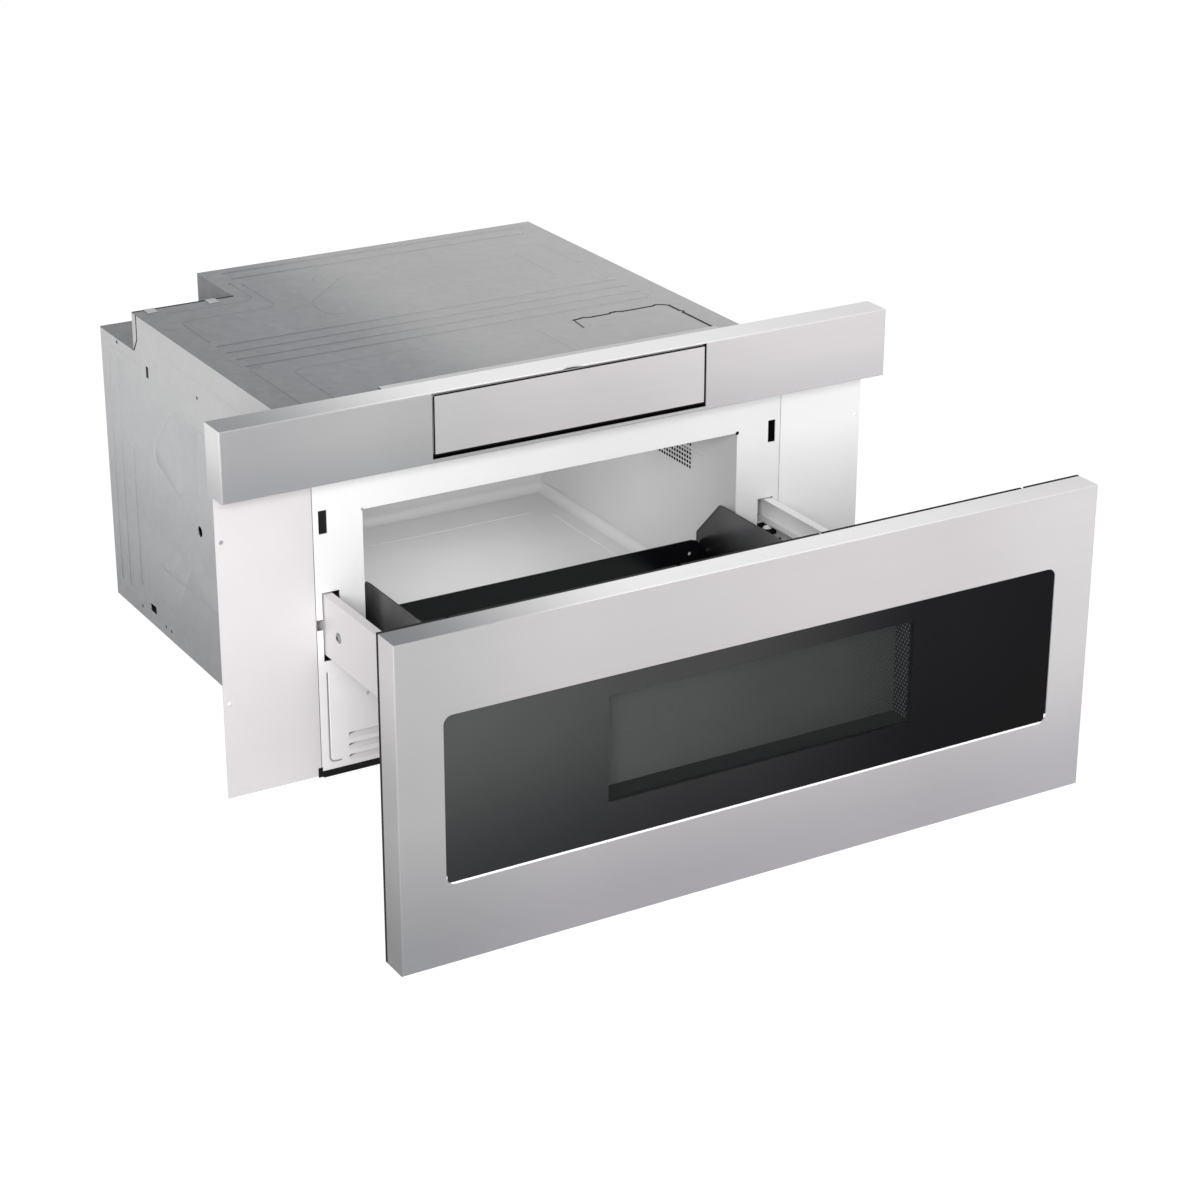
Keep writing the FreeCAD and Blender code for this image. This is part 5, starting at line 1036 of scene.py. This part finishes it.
@dataclass
class Screws:
    """Pan-head screws with a cross recess, standing for the plain ones of the solids.

    Attributes:
        head_radius: the radius of a head.
        recess_reach: how far an arm of the cross reaches.
        recess_width: the width of an arm.
        socket_radius: the radius of the dark middle of the cross.
    """

    head_radius: float = 0.0039
    recess_reach: float = 0.0029
    recess_width: float = 0.0015
    # socket_radius: the radius of the black disc of painted shade in the middle of the cross.
    socket_radius: float = 0.0015

    def head(self, rise: float, washer: float, washer_radius: float) -> bmesh.types.BMesh:
        """Make one head that stands up along Z.

        Args:
            rise: the head's height over its washer.
            washer: the washer's thickness, or 0 for none.
            washer_radius: the washer's radius.

        Returns:
            The head's mesh.
        """
        foot = -0.0002
        radius = self.head_radius
        profile = [(0.0, foot)]
        if washer:
            profile += [(washer_radius, foot), (washer_radius, washer * 0.6), (washer_radius - 0.0003, washer)]
        profile += [(radius, washer or foot), (radius * 0.98, washer + rise * 0.4),
                    (radius * 0.8, washer + rise * 0.8), (radius * 0.5, washer + rise), (0.0, washer + rise)]
        cutter = bmesh.new()
        top = washer + rise
        for turn in (0.6, 0.6 + math.pi / 2):
            made = add_block(cutter, (-self.recess_reach, -self.recess_width / 2, top - rise * 0.8),
                             (self.recess_reach, self.recess_width / 2, top + rise), 0.0001)
            bmesh.ops.rotate(cutter, verts=made, cent=(0, 0, 0), matrix=Matrix.Rotation(turn, 3, "Z"))
        return carved(turned(profile), cutter)

    def spread(self, name: str, head: bmesh.types.BMesh, places: Sequence[Point], body: Body, replaced: str,
               palette: Palette) -> None:
        """Copy a head to each place, turned to look out along X.

        Args:
            name: the piece's name.
            head: the head, freed here.
            places: the middle of each seat.
            body: the body that the screws move with.
            replaced: the solid that they stand for.
            palette: the materials.
        """
        stock = bpy.data.meshes.new("stock")
        head.to_mesh(stock)
        head.free()
        mesh = bmesh.new()
        for x, y, z in places:
            before = len(mesh.verts)
            mesh.from_mesh(stock)
            mesh.verts.ensure_lookup_table()
            out = Matrix.Rotation(math.copysign(math.pi / 2, x), 4, "Y")
            spin = Matrix.Rotation((y + z) * 40, 4, "Z")
            bmesh.ops.transform(mesh, matrix=Matrix.Translation((x, y, z)) @ out @ spin, verts=mesh.verts[before:])
        bpy.data.meshes.remove(stock)
        finish_piece(name, mesh, body, Look.SCREW_STEEL, palette, (replaced,))

    def sockets(self, name: str, places: Sequence[Point], top: float, body: Body, palette: Palette) -> None:
        """Put a black disc of painted shade in the middle of the cross of each head.

        Args:
            name: the piece's name.
            places: the middle of each seat.
            top: the height of a head over its seat.
            body: the body that the screws move with.
            palette: the materials.
        """
        mesh = bmesh.new()
        for x, y, z in places:
            side = math.copysign(1, x)
            add_disc(mesh, Vector((x + side * (top - 0.0001), y, z)), Vector((side, 0, 0)), self.socket_radius, 0.0004)
        finish_piece(name, mesh, body, Look.BLACK_PLASTIC, palette)

    def build(self, palette: Palette) -> None:
        """Build the rail screws and the lip screws."""
        rail = [(side * 0.2640, y, 0.16175) for side in (-1, 1) for y in (-0.312, -0.172, -0.032, 0.108)]
        self.spread("rail_screw_heads", self.head(0.0014, 0.0005, 0.0056), rail, Body.DRAWER, "rail_screws", palette)
        self.sockets("rail_screw_sockets", rail, 0.0019, Body.DRAWER, palette)
        lip = [(side * 0.2744, 0.009, 0.3656 * share) for side in (-1, 1) for share in (0.12, 0.5, 0.82)]
        self.spread("lip_screw_heads", self.head(0.0021, 0.0, 0.0), lip, Body.CHASSIS, "chassis_screws", palette)
        self.sockets("lip_screw_sockets", lip, 0.0021, Body.CHASSIS, palette)


@dataclass
class RecessDetails:
    """The folded tabs and the dark joints at the edge of the cord recess.

    Attributes:
        front: the front wall of the recess.
        cover: the top of the cover.
        half: the outside of the left side.
        inner: the right wall of the recess.
    """

    front: float = 0.4486
    cover: float = 0.3656
    half: float = 0.2732
    inner: float = 0.1543
    tabs: tuple[float, float] = (-0.254, -0.182)

    def build(self, palette: Palette) -> None:
        """Build the tabs and the joints."""
        tabs = bmesh.new()
        for x in self.tabs:
            add_block(tabs, (x - 0.006, self.front - 0.0145, self.cover - 0.0002),
                      (x + 0.006, self.front - 0.0012, self.cover + 0.0009), 0.0003)
        finish_piece("recess_tabs", tabs, Body.CHASSIS, Look.TAB_ZINC, palette)
        up = Vector((0, 0, 1))
        left = Vector((-1, 0, 0))
        joint = bmesh.new()
        thin = [(-0.0009, -0.0001), (-0.0009, 0.0002), (0.0009, 0.0002), (0.0009, -0.0001)]
        wide = [(u * 1.6, v) for u, v in thin]
        edge = [Vector((-self.half + 0.001, self.front - 0.0020, self.cover)),
                Vector((-self.inner, self.front - 0.0020, self.cover))]
        sweep(joint, wide, edge, up)
        seam = [Vector((-self.half, y, z)) for y, z in
                rounded([(0.4370, 0.3650), (0.4370, 0.3370), (0.4475, 0.3225)], 0.004)]
        sweep(joint, thin, seam, left)
        finish_piece("recess_joint", joint, Body.CHASSIS, Look.BLACK_PLASTIC, palette)


@dataclass
class BayJoint:
    """The dark joint line round the back and the right of the control bay's lid.

    Attributes:
        level: the top of the cover.
        path: the joint's corners in millimetres.
    """

    level: float = 0.3656
    path: tuple[Flat, ...] = ((126, 184), (134, 185.2), (140, 187), (147, 183.6), (151, 184.2),
                              (171, 184.4), (175, 187.6), (181, 187.6), (187, 184.6), (226, 184.8),
                              (231.5, 187.4), (237, 185.0), (243, 179.2), (243.2, 155.5), (246.2, 152.5),
                              (243.2, 149.5), (243.2, 23))

    def build(self, palette: Palette) -> None:
        """Build the joint."""
        mesh = bmesh.new()
        section = [(-0.0014, -0.0012), (-0.0014, 0.0002), (0.0014, 0.0002), (0.0014, -0.0012)]
        points = [Vector((x * MM, y * MM, self.level)) for x, y in self.path]
        sweep(mesh, section, points, Vector((0, 0, 1)))
        tick = [Vector((x * MM, y * MM, self.level)) for x, y in ((126.2, 182.5), (122.4, 155))]
        sweep(mesh, [(u * 0.5, v) for u, v in section], tick, Vector((0, 0, 1)))
        finish_piece("bay_joint", mesh, Body.CHASSIS, Look.BLACK_PLASTIC, palette)


@dataclass
class CavityDetails:
    """The rounded foot of the cavity walls and the pressed lines on them.

    Attributes:
        half: half the width of the cavity.
        back: its back wall.
        floor: the top of its floor.
        front: its front.
        radius: the radius of the rounded foot.
    """

    half: float = 0.2186
    back: float = 0.4206
    floor: float = 0.0757
    front: float = 0.0020
    radius: float = 0.010
    relief: float = 0.0017

    def build(self, palette: Palette) -> None:
        """Build the foot and the lines."""
        up = Vector((0, 0, 1))
        steps = 6
        profile = [(0.0002, 0.0002)]
        for step in range(steps + 1):
            angle = math.pi / 2 * step / steps
            profile.append((self.radius * (1 - math.cos(angle)) + 0.0002, self.radius * (1 - math.sin(angle)) + 0.0002))
        foot = bmesh.new()
        path = [Vector((-self.half, self.front, self.floor)), Vector((-self.half, self.back, self.floor)),
                Vector((self.half, self.back, self.floor)), Vector((self.half, self.front, self.floor))]
        for start, end in zip(path, path[1:]):
            sweep(foot, [(-u, v) for u, v in profile], [start, end], up)
        finish_piece("cavity_foot", foot, Body.CHASSIS, Look.CAVITY_ENAMEL, palette)
        lines = bmesh.new()
        ridge = [(-0.0020, -0.0001), (-0.0009, 0.0005), (0.0009, 0.0005), (0.0020, -0.0001)]
        for y in (0.06, 0.36):
            sweep(lines, ridge, [Vector((-0.17, y, self.floor)), Vector((0.17, y, self.floor))], up)
        for x in (-0.19, 0.19):
            sweep(lines, ridge, [Vector((x, 0.08, self.floor)), Vector((x, 0.34, self.floor))], up)
        sweep(lines, ridge, [Vector((self.half + 0.0003, y, 0.232)) for y in (0.06, 0.118)], Vector((-1, 0, 0)))
        finish_piece("cavity_lines", lines, Body.CHASSIS, Look.CAVITY_ENAMEL, palette)


@dataclass
class OpeningReliefs:
    """A black disc of painted shade in the corner relief at the right of the oven opening.

    Attributes:
        half: half the width of the opening.
        top: the height of its top.
        radius: the disc's radius.
        depth: how far it reaches into the frame.
    """

    half: float = 0.2186
    top: float = 0.2777
    radius: float = 0.0021
    depth: float = 0.0010

    def build(self, palette: Palette) -> None:
        """Build the disc."""
        low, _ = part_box("front_frame")
        mesh = bmesh.new()
        add_disc(mesh, Vector((self.half, low.y + self.depth / 2 - 0.0001, self.top)), Vector((0, -1, 0)),
                 self.radius, self.depth)
        finish_piece("opening_relief", mesh, Body.CHASSIS, Look.BLACK_PLASTIC, palette)


@dataclass
class FlapEdgeAndGapShade:
    """The black lip round the flap of the control panel: partly the black housing's edge, partly painted shadow of the
    gap round the flap.

    Attributes:
        half: half the width of the flap, to the middle of the lip.
        low: its foot, to the middle of the lip.
        high: its top, to the middle of the lip.
        face: the front of the flap.
        width: half the lip's width.
        rise: how far it stands in front of the flap.
        corner: the rounding of its corners.
    """

    half: float = 0.1552
    low: float = 0.33295
    high: float = 0.39405
    face: float = -0.0338
    width: float = 0.0008
    rise: float = 0.00008
    corner: float = 0.0015

    def build(self, palette: Palette) -> None:
        """Build the lip."""
        corners = [(-self.half, self.low), (self.half, self.low), (self.half, self.high), (-self.half, self.high)]
        path = [Vector((x, self.face, z)) for x, z in rounded(corners, self.corner, True)]
        section = [(-self.width, -self.rise), (-self.width, self.rise), (self.width, self.rise),
                   (self.width, -self.rise)]
        mesh = bmesh.new()
        sweep(mesh, section, path, Vector((0, -1, 0)), True)
        finish_piece("flap_edge_and_gap_shade", mesh, Body.CONTROL_PANEL, Look.BLACK_PLASTIC, palette)


@dataclass
class SeamShade:
    """A black strip of painted shade in the joint between the white front and each flange.

    Attributes:
        near: the side of the white front.
        far: the side of the flange.
        front: the front of the sealant.
        back: its back, on the side sheet.
        high: its top, behind the trim.
    """

    near: float = 0.27245
    far: float = 0.27315
    # front: the front of the strip.
    front: float = 0.0006
    back: float = 0.00115
    high: float = 0.3300

    def build(self, palette: Palette) -> None:
        """Build both joints."""
        mesh = bmesh.new()
        for side in (-1, 1):
            near, far = sorted((side * self.near, side * self.far))
            add_block(mesh, (near, self.front, 0.0032), (far, self.back, self.high), 0.00005)
        finish_piece("seam_painted_shade", mesh, Body.CHASSIS, Look.BLACK_PLASTIC, palette)


@dataclass
class LatchShade:
    """Black pads of painted shade inside the side sheets, which keep the latch holes dark.

    Attributes:
        inside: the inner face of a side sheet.
        shade_thickness: the pads' thickness.
        low: its lowest and front corner.
        high: its highest and back corner.
    """

    inside: float = 0.2722
    shade_thickness: float = 0.0008
    low: Flat = (0.0040, 0.2480)
    high: Flat = (0.0640, 0.2960)

    def build(self, palette: Palette) -> None:
        """Build both pads."""
        mesh = bmesh.new()
        for side in (-1, 1):
            # Each pad is a black sheet of painted shade behind a latch hole.
            near, far = sorted((side * self.inside, side * (self.inside - self.shade_thickness)))
            add_block(mesh, (near, *self.low), (far, *self.high), 0.0002)
        finish_piece("latch_painted_shade", mesh, Body.CHASSIS, Look.BLACK_PLASTIC, palette)


@dataclass
class VentShadows:
    """Black discs of painted shade over the holes of the vent in the cavity's right wall.

    Attributes:
        wall: the inside of the wall.
        front: where the first column is.
        low: the height of the lowest row.
        pitch: the distance between holes.
        columns: how many columns there are.
        rows: how many rows there are.
        radius: a disc's radius, over a hole with its burr.
        rise: a disc's thickness, half of which stands in from the wall.
    """

    wall: float = 0.2186
    front: float = 0.0920
    low: float = 0.2100
    pitch: float = 0.0052
    columns: int = 14
    rows: int = 10
    radius: float = 0.0018
    rise: float = 0.0002

    def build(self, palette: Palette) -> None:
        """Build the discs as one piece."""
        mesh = bmesh.new()
        for column in range(self.columns):
            for row in range(self.rows):
                add_disc(mesh, Vector((self.wall, self.front + column * self.pitch, self.low + row * self.pitch)),
                         Vector((-1, 0, 0)), self.radius, self.rise)
        finish_piece("vent_shadows", mesh, Body.CHASSIS, Look.BLACK_PLASTIC, palette)


@dataclass
class SideShadows:
    """Black plates and discs of painted shade in the window and the small holes of the side sheets.

    Attributes:
        outside: the outer face of a side sheet.
        inset: how far the plates and discs lie behind it.
        sheet: the sheet's thickness.
        window: the window's lowest and highest corner on the sheet.
        pips: the middles of the small holes.
        radius: their radius.
    """

    outside: float = 0.2732
    inset: float = 0.0002
    sheet: float = 0.0010
    window: tuple[Flat, Flat] = ((0.4093, 0.3006), (0.4163, 0.3136))
    pips: tuple[Flat, ...] = ((0.4983, 0.3169), (0.2758, 0.3191), (0.4703, 0.0115), (0.4023, 0.0115),
                              (0.3863, 0.0115))
    radius: float = 0.0021

    def build(self, palette: Palette) -> None:
        """Build the plates and discs of both sides."""
        mesh = bmesh.new()
        (front, low), (back, high) = self.window
        for side in (-1, 1):
            near, far = sorted((side * (self.outside - self.sheet), side * (self.outside - self.inset)))
            add_block(mesh, (near, front, low), (far, back, high), 0.0002)
            for y, z in self.pips:
                add_disc(mesh, Vector((side * (self.outside - self.inset), y, z)), Vector((side, 0, 0)),
                         self.radius, self.inset * 2)
        finish_piece("side_shadows", mesh, Body.CHASSIS, Look.BLACK_PLASTIC, palette)


@dataclass
class ScreenReturn:
    """The perforated flange that turns forward from the right edge of the screen.

    Attributes:
        inner: the inside of the window duct.
        sheet: the flange's thickness.
        front: its front edge.
        back: its back edge, on the screen.
        low: its foot.
        high: its top.
    """

    inner: float = 0.1668
    sheet: float = 0.0004
    front: float = -0.3830
    back: float = -0.3613
    low: float = 0.1162
    high: float = 0.2200

    def build(self, palette: Palette) -> None:
        """Build the flange."""
        mesh = bmesh.new()
        add_block(mesh, (self.inner - self.sheet, self.front, self.low), (self.inner, self.back, self.high), 0.0001)
        finish_piece("screen_flange", mesh, Body.DRAWER, Look.SCREEN_RETURN, palette)


@dataclass
class TrayDetails:
    """The rolled top edges of the tray's sides and of its rear strip.

    Attributes:
        half: the outside of the tray's sides.
        sheet: their thickness.
        front: where they start behind the door.
        back: where they end.
        top: their top edge.
        shoulder: the height of their back corner.
        strip_top: the top of the rear strip.
    """

    half: float = 0.2097
    sheet: float = 0.0012
    front: float = -0.3550
    back: float = 0.0600
    top: float = 0.1933
    shoulder: float = 0.1480
    strip_top: float = 0.1409
    bead: float = 0.0009

    def build(self, palette: Palette) -> None:
        """Build the rolled edges."""
        mesh = bmesh.new()
        ring = [(self.bead * math.cos(angle), self.bead * math.sin(angle))
                for angle in (math.pi / 4 * step for step in range(8))]
        for side in (-1, 1):
            x = side * (self.half - self.sheet / 2)
            path = rounded([(self.front, self.top), (self.back - 0.045, self.top), (self.back, self.shoulder)], 0.008)
            sweep(mesh, ring, [Vector((x, y, z)) for y, z in path], Vector((side, 0, 0)))
        strip = [Vector((x, self.back - 0.0044, self.strip_top)) for x in (-0.199, 0.199)]
        sweep(mesh, ring, strip, Vector((0, 0, 1)))
        # Their light faces come from the tray finish's painted reflection.
        finish_piece("tray_edges", mesh, Body.DRAWER, Look.TRAY_ENAMEL, palette)


@dataclass
class WindowEdge:
    """The cut edge of the door skin along the foot of its window, drawn white as a painted highlight.

    Attributes:
        half: half the width of the window.
        low: its foot.
        rise: how far the bright edge goes up at the corners.
        skin: the front of the skin.
        depth: how far the glass lies behind it.
        width: the width of the turned edge.
        corner: the rounding of the corners.
    """

    half: float = 0.3340
    low: float = 0.0750
    rise: float = 0.009
    skin: float = -0.3893
    depth: float = 0.0011
    width: float = 0.0015
    corner: float = 0.009

    def build(self, palette: Palette) -> None:
        """Build the edge as a narrow slope from the skin down to the glass."""
        top = self.low + self.rise
        corners = [(-self.half, top), (-self.half, self.low), (self.half, self.low), (self.half, top)]
        path = [Vector((x, self.skin, z)) for x, z in rounded(corners, self.corner, False, 7)]
        section = [(-0.0002, 0.00003), (self.width, -self.depth), (-0.0002, -self.depth)]
        mesh = bmesh.new()
        sweep(mesh, section, path, Vector((0, -1, 0)))
        finish_piece("window_edge", mesh, Body.DRAWER, Look.EDGE_STEEL, palette)


@dataclass
class SlideDetails:
    """Black discs of painted shade in the holes near the ends of the moving slides.

    Attributes:
        web: the inside of the slide's web.
        places: where the holes are along the slide.
        height: their height.
        radius: their radius.
    """

    web: float = 0.2553
    places: tuple[float, ...] = (-0.0315, -0.2400, 0.0900)
    height: float = 0.1618
    radius: float = 0.0019
    rise: float = 0.0002

    def build(self, palette: Palette) -> None:
        """Build a black disc of painted shade in each hole."""
        # plug: the disc of painted shade, turned once and copied to each hole.
        plug = turned([(0.0, -0.0002), (self.radius, -0.0002), (self.radius, self.rise / 2),
                       (self.radius * 0.9, self.rise), (0.0, self.rise)], 20)
        stock = bpy.data.meshes.new("plug")
        plug.to_mesh(stock)
        plug.free()
        mesh = bmesh.new()
        for side in (-1, 1):
            for y in self.places:
                before = len(mesh.verts)
                mesh.from_mesh(stock)
                mesh.verts.ensure_lookup_table()
                turn = Matrix.Rotation(-side * math.pi / 2, 4, "Y")
                bmesh.ops.transform(mesh, matrix=Matrix.Translation((side * self.web, y, self.height)) @ turn,
                                    verts=mesh.verts[before:])
        bpy.data.meshes.remove(stock)
        finish_piece("slide_hole_shade", mesh, Body.DRAWER, Look.BLACK_PLASTIC, palette)


# ---------------------------------------------------------------------------- studio

@dataclass
class Studio:
    """The floor, the lights, the world and the camera.

    Attributes:
        floor_level: the floor's height.
        floor_reach: half its width.
        soft: how strongly the world lights the object.
        key: the power of the large light beside the camera, in watts.
        fill: the power of the large light behind the object, in watts.
        oven: the power of the oven's own light, in watts.
    """

    floor_level: float = -0.0050
    floor_reach: float = 30.0
    soft: float = 0.40
    key: float = 92.0
    fill: float = 4.0
    oven: float = 0.42
    camera_place: Point = (-1.36521, -2.40303, 1.31517)
    camera_right: Point = (0.861969, -0.506954, 0.002671)
    camera_ahead: Point = (0.467075, 0.792092, -0.392977)
    lens: float = 87.17
    sensor: float = 36.0

    def build(self) -> None:
        """Build the studio."""
        self.build_floor()
        self.build_world()
        self.add_light("key", (-1.6, -2.6, 1.3), (0, 0, 0.15), 1.4, self.key)
        self.add_light("fill", (0.6, 1.2, 2.6), (0, 0.1, 0.3), 1.6, self.fill)
        oven = self.add_light("oven", (0, 0.20, 0.272), (0, 0.20, 0), 0.24, self.oven)
        oven.visible_camera = False
        self.build_camera()
        bpy.context.scene.view_settings.view_transform = "Standard"

    def build_floor(self) -> None:
        """Build a plain pale floor that keeps a soft shadow.

        Seen directly or in metal and glass it is nearly white by its own colour, with the shadow over it.
        """
        mesh = bmesh.new()
        reach = self.floor_reach
        add_block(mesh, (-reach, -reach, self.floor_level - 0.02), (reach, reach, self.floor_level), 0.001)
        data = bpy.data.meshes.new("floor")
        mesh.to_mesh(data)
        mesh.free()
        floor = bpy.data.objects.new("floor", data)
        bpy.context.scene.collection.objects.link(floor)
        sheet = NodeSheet("studio_floor")
        seen = self.seen(sheet)
        colour = sheet.add("ShaderNodeMix", {"data_type": "RGBA"},
                           {0: seen, 6: linear("#e2e2e2"), 7: linear("#7a7a7a")}, 2)
        drift = sheet.vary(sheet.grain((600.0, 600.0, 600.0)), 0.99, 1.0)
        sheet.set({"Base Color": sheet.shade(colour, drift), "Roughness": 0.9, "Specular IOR Level": 0.0})
        glow = sheet.add("ShaderNodeEmission", links={"Strength": sheet.vary(seen, 0.0, 0.93, 0.0, 1.0)})
        both = sheet.add("ShaderNodeAddShader", links={0: sheet.shader.outputs[0], 1: glow})
        sheet.plug(sheet.output.inputs["Surface"], both)
        data.materials.append(sheet.material)

    def seen(self, sheet: NodeSheet) -> Socket:
        """Whether a ray comes from the camera, straight or by way of metal or glass."""
        camera = sheet.add("ShaderNodeLightPath", out="Is Camera Ray")
        glossy = sheet.add("ShaderNodeLightPath", out="Is Glossy Ray")
        passing = sheet.add("ShaderNodeLightPath", out="Is Transmission Ray")
        first = sheet.add("ShaderNodeMath", {"operation": "MAXIMUM"}, {0: camera, 1: glossy})
        return sheet.add("ShaderNodeMath", {"operation": "MAXIMUM"}, {0: first, 1: passing})

    def build_world(self) -> None:
        """Light the object softly from all round by a world that looks white."""
        world = bpy.data.worlds.new("studio")
        world.use_nodes = True
        tree = world.node_tree
        path = tree.nodes.new("ShaderNodeLightPath")
        first = tree.nodes.new("ShaderNodeMath")
        first.operation = "MAXIMUM"
        tree.links.new(path.outputs["Is Camera Ray"], first.inputs[0])
        tree.links.new(path.outputs["Is Glossy Ray"], first.inputs[1])
        strength = tree.nodes.new("ShaderNodeMapRange")
        tree.links.new(first.outputs[0], strength.inputs[0])
        strength.inputs[3].default_value = self.soft
        strength.inputs[4].default_value = 1.0
        background = tree.nodes["Background"]
        background.inputs["Color"].default_value = (1, 1, 1, 1)
        tree.links.new(strength.outputs[0], background.inputs["Strength"])
        bpy.context.scene.world = world

    def add_light(self, name: str, place: Point, target: Point, size: float, power: float) -> bpy.types.Object:
        """Add a square area light that faces a target.

        Args:
            name: the light's name.
            place: where it stands.
            target: what it faces.
            size: the length of its side.
            power: its power in watts.

        Returns:
            The light.
        """
        data = bpy.data.lights.new(name, "AREA")
        data.size = size
        data.energy = power
        light = bpy.data.objects.new(name, data)
        light.location = place
        light.rotation_euler = (Vector(target) - Vector(place)).to_track_quat("-Z", "Y").to_euler()
        bpy.context.scene.collection.objects.link(light)
        return light

    def build_camera(self) -> None:
        """Set the camera to the photograph's place, direction and lens."""
        right = Vector(self.camera_right).normalized()
        ahead = Vector(self.camera_ahead).normalized()
        up = right.cross(ahead).normalized()
        turn = Matrix((right, up, -ahead)).transposed().to_4x4()
        data = bpy.data.cameras.new("camera")
        data.lens = self.lens
        data.sensor_width = self.sensor
        data.clip_start = 0.05
        data.clip_end = 100
        camera = bpy.data.objects.new("camera", data)
        camera.matrix_world = Matrix.Translation(self.camera_place) @ turn
        bpy.context.scene.collection.objects.link(camera)
        bpy.context.scene.camera = camera


def main() -> None:
    """Dress the solids, build each sub-assembly in order, then the studio."""
    palette = Palette(FINISHES)
    palette.dress_solids()
    parts = (
        PressedSheet("top_cover", Face.TOP, 365.6, Look.COVER_ZINC, TOP_BEADS, wide_paths=TOP_RIBS),
        PressedSheet("side_panel_left", Face.LEFT, 273.2, Look.SIDE_ZINC, SIDE_BEADS, wide_paths=SIDE_RIBS),
        PressedSheet("side_panel_right", Face.RIGHT, 273.2, Look.SIDE_ZINC, SIDE_BEADS, wide_paths=SIDE_RIBS),
        PressedSheet("front_frame", Face.FRONT, 0.0, Look.FRAME_PAINT, FRONT_BEADS, width=3.0, depth=0.9),
        BeadShade(),
        LouvreVanes(),
        Screws(),
        RecessDetails(),
        BayJoint(),
        CavityDetails(),
        OpeningReliefs(),
        FlapEdgeAndGapShade(),
        SeamShade(),
        LatchShade(),
        VentShadows(),
        SideShadows(),
        ScreenReturn(),
        TrayDetails(),
        WindowEdge(),
        SlideDetails(),
    )
    for part in parts:
        part.build(palette)
        LOG.info("%s built", type(part).__name__)
    Studio().build()


if __name__ == "__main__":
    main()
